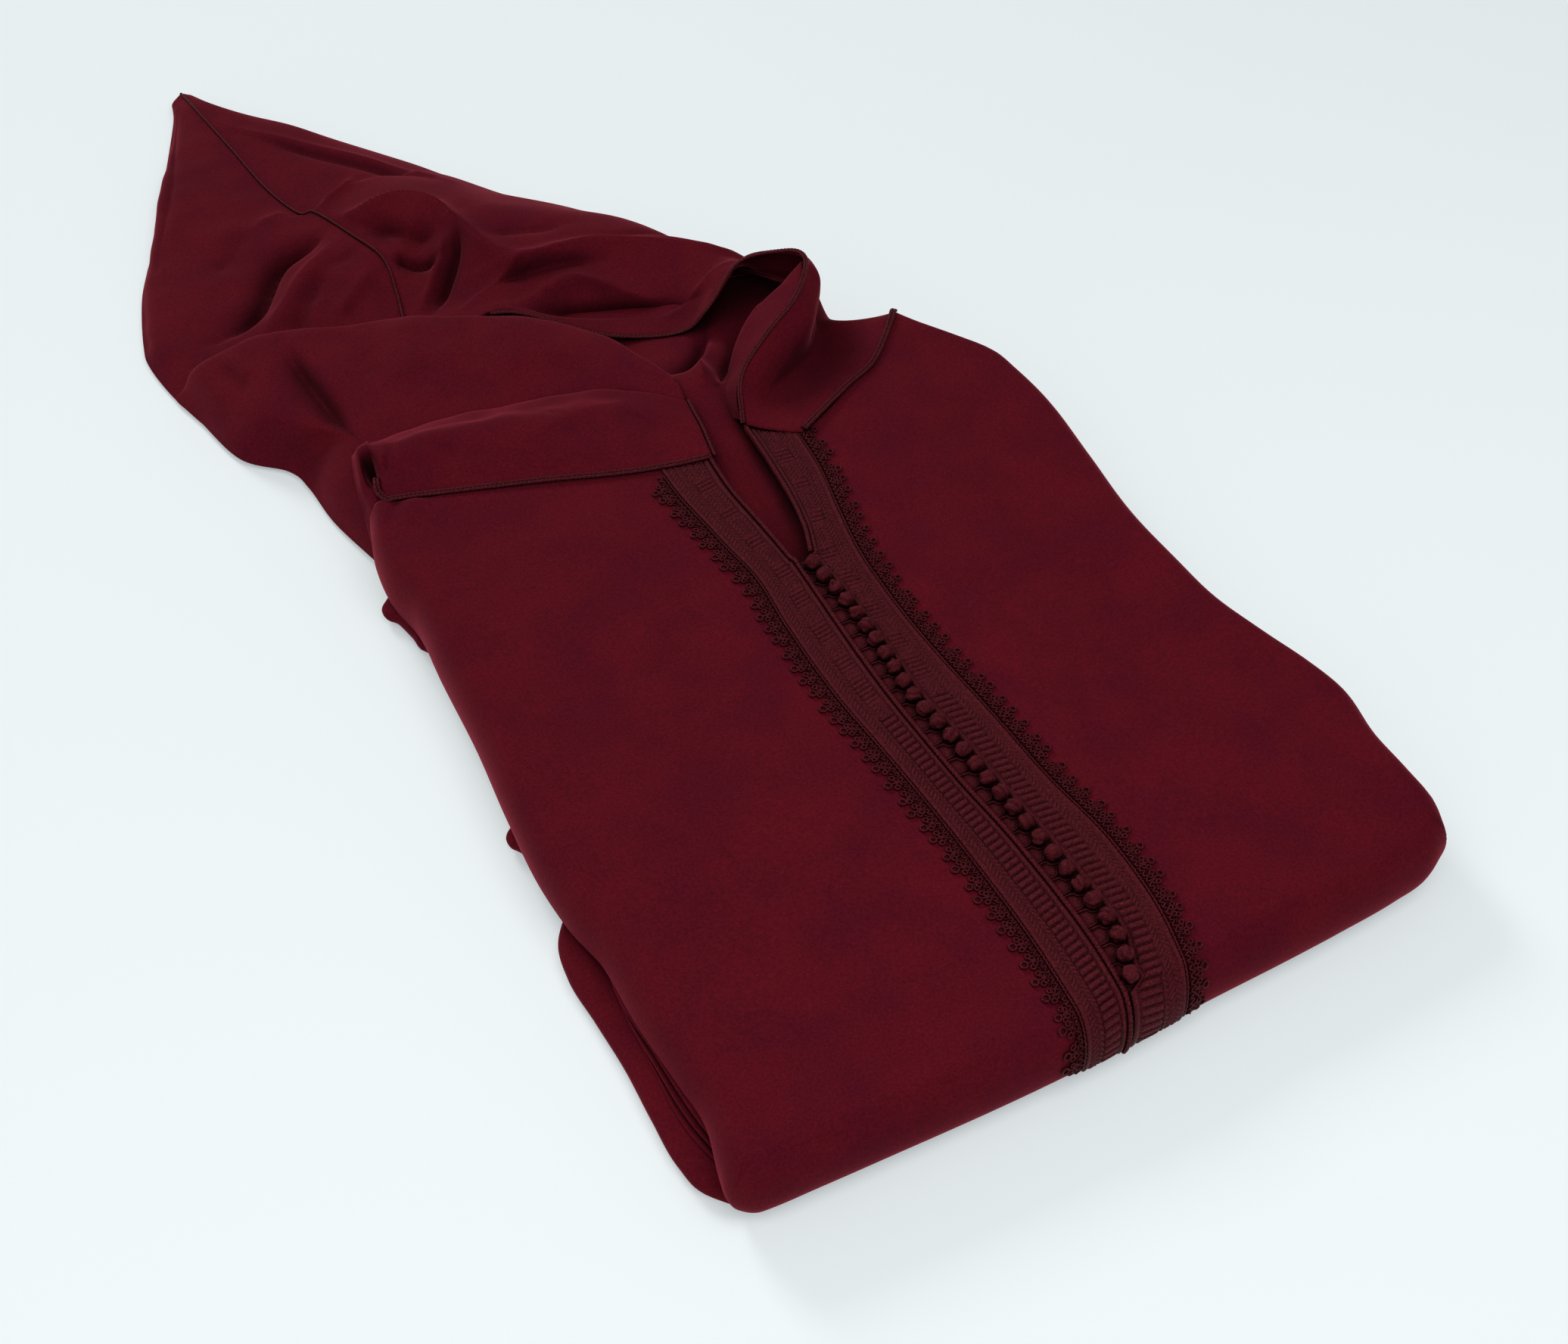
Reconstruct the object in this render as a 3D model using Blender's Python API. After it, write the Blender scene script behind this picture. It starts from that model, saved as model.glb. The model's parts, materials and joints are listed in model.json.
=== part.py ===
"""A djellaba folded for display: the body lies on its back in a flat rounded pack, front up, and the hood lies open
beyond the shoulders. Two braid bands with crochet edging and knotted ball buttons run down the neck slit and over the
front fold.

The tables are in millimetres, in the garment's frame: x runs to the right along the front fold, y towards the hood,
z up from the surface it lies on, with x = y = 0 at the front left corner. The finished solids are in metres, with the
origin under the middle of the whole piece."""

import bpy
import numpy as np
from mathutils import Matrix, Vector
from mathutils.bvhtree import BVHTree

MM = 0.001

# Cloth and trim, in mm
CLOTH = 1.5  # wall of every cloth panel
GAP = 0.3  # between pieces at a seam
TRIM_GAP = 0.45  # under trim that lies on a curved panel
PACK_MID = 22.5  # height of the pack's widest line
PACK_ROLL = 18.0  # how far in from its outline the pack is rounded
BAND_THICK = 1.3
EDGING_THICK = 1.2
PICOT_PITCH = 10.3
CORD_RADIUS = 1.4
EDGE_CORD_RADIUS = 1.1
BUTTON_RADIUS = 4.2
BUTTON_COUNT = 29
BUTTON_SEAT = 0.8  # a button's height below its middle, as a share of its radius
CROWN_GAP = 1.5  # between the hood's two panels, under their seam cord
SEAM_STEP = 0.9  # a seam cord's middle, beyond the edge of the upper panel

# The hidden layers, which share one solid under the body and one under the hood
RIM = 1.2  # their thickness at the edge, where the cloth comes down to them
FILL_GAP = 0.8  # between them and the cloth over them
FILL_INSET = 12.0  # in from the body's outline, so that its rolled edge hides them
HOOD_FILL_INSET = 3.0
FILL_PASSES = 4
SHOULDER_LINE = 506.0

# Angles round a rolled edge of the pack: from its upper face to its widest line, and on underneath
FOLD_TURNS = np.radians([22.5, 45, 67.5, 90])
UNDER_TURNS = np.radians([108, 126])

BURGUNDY = (0.105, 0.006, 0.014, 1.0)
BRAID = (0.040, 0.006, 0.010, 1.0)


# ---------------------------------------------------------------- tables and curves


def table(text):
    """Columns by name, as arrays in mm, from a heading and one row for each station."""
    head, *rows = [line.split() for line in text.strip().splitlines()]
    values = np.array([[float(v) for v in row] for row in rows])
    return {name: values[:, k] for k, name in enumerate(head)}


def sections(text, names):
    """A table's rows as (row, point, xyz), each point read from its columns NAME.x, NAME.y and NAME.z."""
    columns = table(text)
    return np.array([[columns[f"{n}.{axis}"] for axis in "xyz"] for n in names.split()]).transpose(2, 0, 1)


def follow(columns, key, value, at):
    """A smooth curve through a table's column value against its column key, at the given places."""
    x, y = columns[key], columns[value]
    if x[0] > x[-1]:
        x, y = x[::-1], y[::-1]
    slope = np.gradient(y, x)
    at = np.clip(np.asarray(at, float), x[0], x[-1])
    k = np.clip(np.searchsorted(x, at) - 1, 0, len(x) - 2)
    span = x[k + 1] - x[k]
    t = (at - x[k]) / span
    rise = (2 * t**3 - 3 * t**2 + 1) * y[k] + (3 * t**2 - 2 * t**3) * y[k + 1]
    return rise + span * ((t**3 - 2 * t**2 + t) * slope[k] + (t**3 - t**2) * slope[k + 1])


def spline(points, count):
    """count points, evenly spaced by parameter, on a Catmull-Rom curve through points along axis 0."""
    points = np.asarray(points, float)
    last = len(points) - 1
    padded = np.concatenate([[2 * points[0] - points[1]], points, [2 * points[-1] - points[-2]]])
    at = np.linspace(0, last, count)
    k = np.minimum(at.astype(int), last - 1)
    t = (at - k).reshape([-1] + [1] * (points.ndim - 1))
    a, b, c, d = (padded[k + i] for i in range(4))
    return 0.5 * (2 * b + (c - a) * t + (2 * a - 5 * b + 4 * c - d) * t**2 + (3 * b - a - 3 * c + d) * t**3)


def loft(rows, along, across):
    """A grid of along x across points on the smooth surface through the rows of section points."""
    fine_rows = spline(np.asarray(rows).transpose(1, 0, 2), across).transpose(1, 0, 2)
    return spline(fine_rows, along)


# ---------------------------------------------------------------- meshes


def grid_faces(along, across, flip=False):
    """Quads over a grid whose points are stored row by row."""
    faces = []
    for i in range(along - 1):
        for j in range(across - 1):
            a = i * across + j
            quad = (a, a + 1, a + across + 1, a + across)
            faces.append(quad[::-1] if flip else quad)
    return faces


def vertex_normals(verts, faces):
    """Unit normals at the points of a surface of triangles and quads."""
    normals = np.zeros_like(verts)
    for face in faces:
        p = verts[list(face)]
        face_normal = np.cross(p[2] - p[0], p[-1] - p[1])
        for k in face:
            normals[k] += face_normal
    return normals / np.linalg.norm(normals, axis=1, keepdims=True)


def border(faces):
    """The directed edges that only one face has."""
    edges = {(f[k], f[(k + 1) % len(f)]) for f in faces for k in range(len(f))}
    return [(a, b) for a, b in edges if (b, a) not in edges]


def shell(upper, lower, faces):
    """A closed body between two surfaces with the same faces."""
    count = len(upper)
    under = [tuple(k + count for k in face[::-1]) for face in faces]
    rim = [(b, a, a + count, b + count) for a, b in sorted(border(faces))]
    return np.concatenate([upper, lower]), faces + under + rim


def wall(verts, faces, thickness, lift=0.0):
    """A closed wall whose inner face lies lift above the given surface, and whose outer face is thickness further."""
    normals = vertex_normals(verts, faces)
    return shell(verts + normals * (lift + thickness), verts + normals * lift, faces)


def material(name, colour, roughness):
    made = bpy.data.materials.get(name) or bpy.data.materials.new(name)
    made.use_nodes = True
    shader = made.node_tree.nodes["Principled BSDF"]
    shader.inputs["Base Color"].default_value = colour
    shader.inputs["Roughness"].default_value = roughness
    shader.inputs["Metallic"].default_value = 0.0
    return made


def cloth():
    return material("burgundy_cloth", BURGUNDY, 0.85)


def braid():
    return material("braid_thread", BRAID, 0.6)


def add(name, body, finish):
    """A named object from points in mm and faces."""
    verts, faces = body
    mesh = bpy.data.meshes.new(name)
    mesh.from_pydata((verts * MM).tolist(), [], faces)
    mesh.materials.append(finish)
    mesh.shade_smooth()
    made = bpy.data.objects.new(name, mesh)
    bpy.context.collection.objects.link(made)
    return made


def cord(path, radius=CORD_RADIUS, sides=6):
    """A closed round cord along a path."""
    run = np.gradient(path, axis=0)
    run /= np.linalg.norm(run, axis=1, keepdims=True)
    side = np.cross(run[0], (0, 0, 1))
    rings = []
    for place, ahead in zip(path, run):
        side = side - ahead * (side @ ahead)
        side /= np.linalg.norm(side)
        up = np.cross(ahead, side)
        turns = np.linspace(0, 2 * np.pi, sides, endpoint=False)[:, None]
        rings.append(place + radius * (np.cos(turns) * side + np.sin(turns) * up))
    faces = [tuple(range(sides))[::-1], tuple(range((len(path) - 1) * sides, len(path) * sides))]
    for i in range(len(path) - 1):
        for s in range(sides):
            a, b = i * sides + s, i * sides + (s + 1) % sides
            faces.append((a, b, b + sides, a + sides))
    return np.concatenate(rings), faces


# ---------------------------------------------------------------- the folded body

# Outline of the pack at its widest height
LEFT = table("""
    y     x
    -6   -4
    13   -2
    38    3
    61    1
   103   -3
   139   -4
   168   -9
   200  -12
   246  -11
   296   -8
   355   -7
   396   -6
   427  -11
   448  -10
   475   -4
   507   -4
""")
RIGHT = table("""
    y     x
    21  399
    37  405
    60  406
    88  406
   118  410
   148  405
   174  397
   203  389
   238  386
   271  384
   300  385
   335  388
   374  391
   418  389
   438  386
   466  371
   490  357
   507  348
""")
FRONT = table("""
     x     y
    -4    -6
    10    -9
    40   -10
   102  -9.5
   162    -8
   252    -1
   330     5
   365     9
   385    13
   399    21
""")

# Height of the upper face along the middle, and the soft trough that runs down the right half
CROWN = table("""
    y     z
   -10   44
   100   45
   300   46
   420   49
   507   50
""")
TROUGH = table("""
    y     x  depth
   140  322      0
   220  325    2.5
   300  329    4.0
   420  336    4.0
   507  340    2.0
""")
TROUGH_HALF_WIDTH = 24.0

# The slit down the front, which opens to a V above y = 322
SLIT = table("""
    y     x
   -12  198
     0  200
    60  202
    96  200
   144  195
   204  191
   322  191
""")
V_LEFT = table("""
    y     x
   322  190
   345  188
   366  186
   386  184
   413  184
   440  186
   468  191
""")
V_RIGHT = table("""
    y     x
   322  199
   341  205
   358  208
   398  211
   443   212
""")
V_FOOT = 322.0

# Where the front halves end under the yoke and under the hood's foot
YOKE_SEAM = table("""
     x     y
    -4   475
    12   464
    49   454
    93   441
   148   424
   184   419
""")
FOOT_SEAM = table("""
     x     y
   200   445
   213   435
   219 429.6
   225 425.5
   230 422.4
   236 418.6
   240 417.6
   250   422
   264   430
   289   446
   306   454
   326   477
   337   491
   348   507
""")

# How low the left half's edge hangs along the left side, above the folded skirt layers
LEFT_HEM = table("""
    y     z
    -6    4
     8   13
    22   21
   140   21
   175   13
   192   13
   210    5
   507    5
""")
FRONT_HEM = 4.0
FOLD_START = 10.0  # y where the front starts to turn over, beside the slit


def outline():
    """The pack's outline from the left shoulder round the front to the right shoulder."""
    down = np.linspace(LEFT["y"][-1], LEFT["y"][0], 80)
    left = np.stack([follow(LEFT, "y", "x", down), down], 1)
    across = np.linspace(FRONT["x"][0], FRONT["x"][-1], 80)
    front = np.stack([across, follow(FRONT, "x", "y", across)], 1)
    up = np.linspace(RIGHT["y"][0], RIGHT["y"][-1], 80)
    right = np.stack([follow(RIGHT, "y", "x", up), up], 1)
    return np.concatenate([left, front[1:], right[1:]])


OUTLINE = outline()


def outline_distance(x, y):
    """Distance in plan from the pack's outline."""
    place = np.stack([x, y], -1)[..., None, :]
    start, run = OUTLINE[:-1], np.diff(OUTLINE, axis=0)
    t = np.clip(((place - start) * run).sum(-1) / (run**2).sum(-1), 0, 1)
    return np.linalg.norm(place - start - t[..., None] * run, axis=-1).min(-1)


def full_height(x, y):
    """Height of the upper face before it is rounded off at the outline."""
    depth = follow(TROUGH, "y", "depth", y)
    aside = (x - follow(TROUGH, "y", "x", y)) / TROUGH_HALF_WIDTH
    return follow(CROWN, "y", "z", y) - depth * np.exp(-(aside**2))


def top_point(x, y):
    """A point on the pack's upper face."""
    x, y = np.broadcast_arrays(np.asarray(x, float), np.asarray(y, float))
    inside = np.clip(outline_distance(x, y) / PACK_ROLL, 0, 1)
    rounding = np.sqrt(1 - (1 - inside) ** 2)
    return np.stack([x, y, PACK_MID + (full_height(x, y) - PACK_MID) * rounding], -1)


def fold_stations(y_from, step):
    """Stations down the front and round the fold, each (y on the upper face, angle round the fold)."""
    count = int(round((y_from - PACK_ROLL) / step))
    flat = [(y, 0.0) for y in np.linspace(y_from, PACK_ROLL, count + 1)]
    return flat + [(FOLD_START, turn) for turn in (0.0, *FOLD_TURNS, *UNDER_TURNS)]


def front_point(x, station):
    """A point on the front at a station of fold_stations."""
    y_flat, turn = station
    fold = follow(FRONT, "x", "y", x)
    y = fold + PACK_ROLL * (1 - np.sin(turn)) if turn > 0 else np.maximum(y_flat, fold + PACK_ROLL)
    rise = full_height(x, y) - PACK_MID
    return np.stack([x, y, PACK_MID + rise * np.cos(turn)], -1)


def from_the_edge(flat_parts):
    """Steps inward from the pack's outline: mm over the rounded edge, and shares of the flat stretch after it."""
    rounded = PACK_ROLL * (1 - np.sin(FOLD_TURNS[::-1]))
    mm = np.append(rounded, np.full(flat_parts + 1, PACK_ROLL))
    return mm, np.append(np.zeros(len(rounded)), np.linspace(0, 1, flat_parts + 1))


def step_in(start, end, steps):
    """Places from start, on the outline, towards end."""
    mm, share = steps
    toward = np.sign(end - start)
    return start + toward * mm + share * (end - start - toward * PACK_ROLL)


def front_half(side, flat_rows, flat_columns, under_rows):
    """Outer surface of one half of the front: a grid from the side to the slit, and a skirt that turns under."""
    left = side == "left"
    seam, reach, mouth = (YOKE_SEAM, LEFT, V_LEFT) if left else (FOOT_SEAM, RIGHT, V_RIGHT)
    clear = -GAP if left else GAP

    def slit_edge(y):
        return clear + np.where(y > V_FOOT, follow(mouth, "y", "x", y), follow(SLIT, "y", "x", y))

    rows = [steps[:, None] for steps in from_the_edge(flat_rows)]
    columns = from_the_edge(flat_columns)
    x = np.full((len(rows[0]), len(columns[0])), reach["x"].mean())
    for _ in range(8):
        y = step_in(follow(FRONT, "x", "y", x), follow(seam, "x", "y", x) - GAP, rows)
        x = step_in(follow(reach, "y", "x", y), slit_edge(y), columns)
    points = top_point(x, y)
    points[:, 0, 2] = points[0, :, 2] = PACK_MID
    along, across = points.shape[:2]
    verts = points.reshape(-1, 3)
    faces = grid_faces(along, across, flip=not left)
    path = [i * across for i in range(along - 1, 0, -1)] + list(range(across))
    rim = verts[path]
    run = np.gradient(rim[:, :2], axis=0)
    inward = np.stack([run[:, 1], -run[:, 0]], 1) * (-1 if left else 1)
    inward /= np.linalg.norm(inward, axis=1, keepdims=True)
    hem = np.full(len(rim), FRONT_HEM)
    if left:
        hem[: along - 1] = np.interp(rim[: along - 1, 1], LEFT_HEM["y"], LEFT_HEM["z"])
    rise = full_height(rim[:, 0], rim[:, 1]) - PACK_MID
    last_turn = np.arccos(np.clip((hem - PACK_MID) / rise, -1, 1))
    previous = path
    for k in range(1, under_rows + 1):
        turn = np.pi / 2 + (last_turn - np.pi / 2) * k / under_rows
        row = np.empty_like(rim)
        row[:, :2] = rim[:, :2] + inward * (PACK_ROLL * (1 - np.sin(turn)))[:, None]
        row[:, 2] = PACK_MID + rise * np.cos(turn)
        current = list(range(len(verts), len(verts) + len(rim)))
        verts = np.concatenate([verts, row])
        for a in range(len(rim) - 1):
            quad = (previous[a], current[a], current[a + 1], previous[a + 1])
            faces.append(quad if left else quad[::-1])
        previous = current
    return verts, faces


# ---------------------------------------------------------------- the hood, the yoke and the neck

# Crown seam of the hood, from its tip to where it passes under the left side: both hood panels start from it
CROWN_SEAM = """
    seam.x seam.y seam.z
      28   989    8
      33   950   14
      43   895   16
      51   838   15
      61   792   17
      79   752   24
      87   716   25
      84   686   18
      80   655   13
"""

# Left hood panel, the stretch from its left fold to the crown seam; its last rows lie under the left side
CROWN_LEFT = """
    fold.x fold.y fold.z  side.x side.y side.z  belly.x belly.y belly.z  near.x near.y near.z
      23   986    3        24   987    4          25    988    5.5        26    989    7
      13   960    3        16   958    8          21    955    11         27    953    13
     -15   885    3        -9   888   11           8    893    15         26    898    17
     -38   824    3       -29   829   12          -6    838    17         24    842    18
     -63   762    3       -52   766   12          -22   776    17         20    786    18
     -71   725    3       -60   727   13          -28   738    16         22    750    17
     -75   700    3       -63   700   13          -32   702    15         20    712    19
     -67   668    3       -56   668   11          -30   668   14          22    676    17
     -58   640    3       -46   640    8          -24   640   10          20    646    12
"""

# Left hood panel, the stretch that rolls over the face opening, from its left fold to the neck
LEFT_SIDE = """
    valley.x valley.y valley.z  rise.x rise.y rise.z  top.x top.y top.z  brow.x brow.y brow.z  tuck.x tuck.y tuck.z
      -21   566    3        -50   592    3        -62   636    3         -76   686    7         -76   694    4
      -17   562   14        -45   592   15        -56   634   16         -70   680   17         -70   688    9
       -7   551   27        -32   586   29        -43   628   30         -56   670   26         -55   677   16
        8   538   36        -12   575   38        -21   616   40         -30   657   38         -30   661   25
       30   531   42         15   566   43          6   604   47          -5   650   44          -4   651   30
       60   528   44         50   556   47         44   588   52          42   627   50          44   626   33
      101   521   45         92   543   49         86   570   55          90   608   53          94   606   36
      136   512   48        131   531   51        130   553   56         140   578   54         146   576   37
      159   501   51        159   516   54        162   532   57         170   545   54         177   544   38
      174   487   53        177   497   55        179   507   57         184   514   54         191   514   39
      190   471.4 53        191   479   54        191   487   55         192   494   53         197   496   43
"""

# The left yoke: from its cord over a soft roll to the valley before the hood
YOKE = """
    seam.x seam.y seam.z  front.x front.y front.z  crest.x crest.y crest.z  back.x back.y back.z  valley.x valley.y valley.z
        3   475   46        -1   482   41          -2   494   46           4   509   42          12   525   35
        5   468   48.6       6   480   56           8   496   63          14   512   54          26   529   42
       49   455   49.5      49   472   57          49   492   64          51   508   55          60   526   44
       93   442   50        94   460   58          96   482   64          98   501   55         101   519   45
      130   430   50       132   450   57         136   473   61         138   492   55         141   507.8 49
      160   423   50       163   442   54         165   462   57         167   477   55         168   491   52.5
      184   420   50       186   433   51         188   446   52         189   459   52.5       190   469.6 53
"""

# The back's shoulder, under the hood's left fold
BACK_SHOULDER = """
    out.x out.y out.z  slope.x slope.y slope.z  top.x top.y top.z
      -7   486    3      -6   488   16            1   492   28
     -13   503    3     -10   506   18            2   512   30
     -17   533    3     -12   533   17            5   534   28
     -19   556    3     -14   552   11            2   546   21
     -15   570    3     -10   567    6            4   560   12
"""

# Right hood panel after the crown seam: its inner edge runs along the face opening, which stands up in a loop beside
# the neck and comes down to the neck slit. Its outer edge lies on the ground, then on the foot seam.
HOOD_RIGHT = """
    edge.x edge.y edge.z  strip.x strip.y strip.z  lip.x lip.y lip.z  ridge.x ridge.y ridge.z  belly.x belly.y belly.z  hem.x hem.y hem.z
      28   989    8        30    989    8          31   989    7.5       32   988    7         33   987    5         34   986    3
      33   950   14        39    952   15          45   953   15         50   952   13         54   950    9         57   947    3
      43   895   16        56    899   19          71   902   20         88   901   17         99   897   10        104   893    3
      51   838   15        72    843   20          94   846   22        118   844   20        140   840   12        152   836    3
      61   792   17        82    799   22         106   803   26        134   803   24        164   797   15        181   788    3
      79   752   24        99    762   34         122   768   35        152   768   30        188   760   18        207   750    3
      87   716   25       106    728   37         132   734   40        164   738   36        210   730   22        231   718    3
      84   686   18       100    696   24         126   708   35        160   714   42        220   708   28        250   694    3
      80   655   13        97    664   19         120   674   28        165   684   43        232   682   36        272   662    3
      97   622   27       110    640   27         132   652   28        182   662   43        246   652   40        288   634    3
     136   624   32       146    636   30         166   645   35        205   648   44        258   636   38        298   618    3
     184   577   30       194    592   30         206   606   36        236   630   45        276   612   42        310   594    3
     224   554   34       232    567   34         243   582   40        262   604   46        288   590   42        315   572    3
     242   547   53       252    559   55         264   571   55        280   578   50        298   566   34        318   554    3
        268   558  69.5     277   563    67     286   562    60     295   556    46     305   548    26     320   541     3
        291   540  80.5     299   541    75     304   538    64     307   533    50     314   528    28     328   525     3
        296   525  83.5     301   520    77     300   515    69     295   512    57     307   510    50     344   505    36
        289   510    83     295   507    76     294   503    68     290   500    57     303   497    51     340   496  46.8
        273   492  80.5     279   489    74     280   486    66     278   484    56     292   480    51     326   478  48.2
        250   479    74     256   475    68     259   472    60     260   469    54     273   463  51.2     304   455  49.3
        224   460  64.5     230   456    59     234   453    55     239   450  52.5     254   445  51.2     281   442  50.2
        213   437    53     219   431  52.5     225   427    52     230   424  51.5     235   421    51     240   419  50.5
"""

# The back's neck part: through the V, up over its fold and down into the neck
BACK_NECK = """
    left.x left.y left.z  lower.x lower.y lower.z  mid.x mid.y mid.z  upper.x upper.y upper.z  right.x right.y right.z
     176   296   35       184   296   35          195   296   35          208   296   35          222   296   35
     172   350   37       182   350   38          194   350   38          208   350   38          224   350   37
     170   410   38       182   410   40          196   410   41          210   410   40          228   408   38
     170   450   40       184   448   42          198   446   43          212   444   42          232   440   39
     172   484   40       188   480   45          203   476   46          217   470   44          236   462   40
     176   505   36       190   497   41          206   491   40          226   483   38          256   472   40
     178   530   24       192   520   22          210   514   18          236   506   20          284   494   40
     170   566   20       188   556   14          214   548   12          246   534   18          296   515   42
     150   600   20       172   590   16          205   582   15          240   570   18          297   538   40
     130   632   14       160   624   12          196   616   11          236   600   14          290   574   24
"""

# The turned-in facing on the inside of the collar's near side
FACING = """
    rim.x rim.y rim.z  middle.x middle.y middle.z  foot.x foot.y foot.z
    292.5 524.5  82         283      525       73     272    524     62
    286.5 511.7  82         275      517       73     261    521     62
      271 494.5  79.5       260      503       70     247    511     58
    248.3 481.6  73         243      491       64     236    500     53.5
    221.7 462    63.5       223      473       57     224    484     49
    213.2 449    56.5       213      459       52     214    470     46.5
"""

# Outline of the hood where it lies on the surface
HOOD_LEFT = table("""
    y     x
   508  -12
   540  -16
   560  -18
   576  -30
   590  -46
   632  -60
   668  -67
   698  -74
   730  -70
   783  -56
   824  -38
   885  -15
   945   11
   984   22
""")
HOOD_RIGHT_REACH = table("""
    y     x
   508  339
   526  327
   541  319
   572  314
   594  309
   634  287
   662  271
   707  240
   764  198
   840  149
   893  104
   948   55
   984   34
""")

# Folded layers that peek out under the left front
SKIRT_LOWER = table("""
    y   out  low  high
     8   -4  0.4   7.0
    16  -10  0.4  10.0
    32  -13  0.4  11.0
    60  -14  0.4  11.4
    90  -14  0.4  11.4
   120  -16  0.4  11.4
   150  -18  0.4  11.0
   172  -14  0.4   9.5
   188   -4  0.4   7.0
""")
SKIRT_UPPER = table("""
    y   out  low  high
    26    0 12.2  17.0
    40   -4 12.0  18.6
    75   -5 12.0  18.8
   110   -4 12.0  18.8
   134   -5 12.0  18.6
   150    0 12.4  17.0
""")
SKIRT_ROOT = 16.0
SKIRT_END = 206.0
SKIRT_ROOM = 3.0

# Corners of the folded sleeve that peek out on the left: the tip, and where its two sides pass under the pack
SLEEVE_TIPS = table("""
    tip.x tip.y  far.x far.y  near.x near.y
      -19   424      4   440       4    384
      -20   240      4   254       4    214
""")
SLEEVE_TIP_LOW = 1.6
SLEEVE_TIP_HIGH = 4.6

# Outer seam of each braid band down the front
BAND_SEAM_LEFT = table("""
    y     x
   -12  173
    13  175
    54  176
   110  174
   156  171
   189  168
   221  165
   281  164
   325  165
   348  161
   369  158
   400  154
   425  153
""")
BAND_SEAM_RIGHT = table("""
    y     x
   -12  229
     3  233
    29  238
    72  240
   120  234
   194  228
   223  225
   277  223
   310  224
   345  229
   380  235
   418  237
""")
BUTTONS = table("""
    y     x
     9  205
    30  212
    52  212
    93  209
   128  206
   167  203
   204  199
   240  200
   279  200
   316  196
""")


BAND_TOP = 418.0  # y where the bands and their edging meet the seams
PLACKET_TOP = {"left": 416.5, "right": 432.0}
BAND_TOP_ROOM = 1.8  # short of the seam, to clear its cord


def skirt_fold(columns, stations, sides):
    """Outer surface of a folded layer: an upper leaf, a rounded edge and a lower leaf."""
    y = np.linspace(columns["y"][0], columns["y"][-1], stations)
    out, low, high = (follow(columns, "y", name, y) for name in ("out", "low", "high"))
    half, mid = (high - low) / 2, (high + low) / 2
    turns = np.linspace(np.pi / 2, 3 * np.pi / 2, sides)
    ring = [np.stack([0 * y + SKIRT_ROOT, y, high], 1)]
    ring += [np.stack([out + half * (1 + np.cos(t)), y, mid + half * np.sin(t)], 1) for t in turns]
    ring += [np.stack([0 * y + SKIRT_ROOT, y, low], 1)]
    return np.stack(ring, 1)


def sleeve_tip(row):
    """A flat folded corner of cloth with a blunt tip."""
    tip, far, near = (
        np.array([SLEEVE_TIPS[f"{n}.x"][row], SLEEVE_TIPS[f"{n}.y"][row]]) for n in ("tip", "far", "near")
    )
    blunt = [tip * 0.85 + far * 0.15, tip, tip * 0.9 + near * 0.1]
    plan = np.array([far, *blunt, near])
    low = np.column_stack([plan, np.full(5, SLEEVE_TIP_LOW)])
    high = np.column_stack([plan, np.full(5, SLEEVE_TIP_HIGH)])
    faces = [(0, 1, 2, 3, 4), (9, 8, 7, 6, 5)]
    faces += [((k + 1) % 5, k, k + 5, (k + 1) % 5 + 5) for k in range(5)]
    return np.concatenate([high, low]), faces


def strip(stations, top, inner_edge, outer_edge, lift, thickness, across=3):
    """A closed strip on the front between two edges, each x by a station's y and number, with inner left of outer.
    Its first station follows the seam that top gives, y by x."""
    share = np.linspace(0, 1, across)
    rows = []
    for number, (y_flat, turn) in enumerate(stations):
        y = y_flat - PACK_ROLL * np.sin(turn)
        x = inner_edge(y, number) * (1 - share) + outer_edge(y, number) * share
        rows.append(front_point(x, (y_flat if number else top(x), turn)))
    return wall(np.concatenate(rows), grid_faces(len(stations), across, True), thickness, lift)


def picot_reach(number):
    """How far the crochet edging reaches beyond the band at each station: a stem and a ring in every pitch."""
    return (6.5, 12.5, 12.0)[number % 3]


def samples(body):
    """Points all over a closed body: the points, the middle of each face, and places between them."""
    verts, faces = body
    found = [verts]
    for face in faces:
        ring = verts[list(face)]
        middle = ring.mean(0)
        found += [middle[None], (ring + middle) / 2, (ring + np.roll(ring, 1, 0)) / 2]
    return np.concatenate(found)


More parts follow.
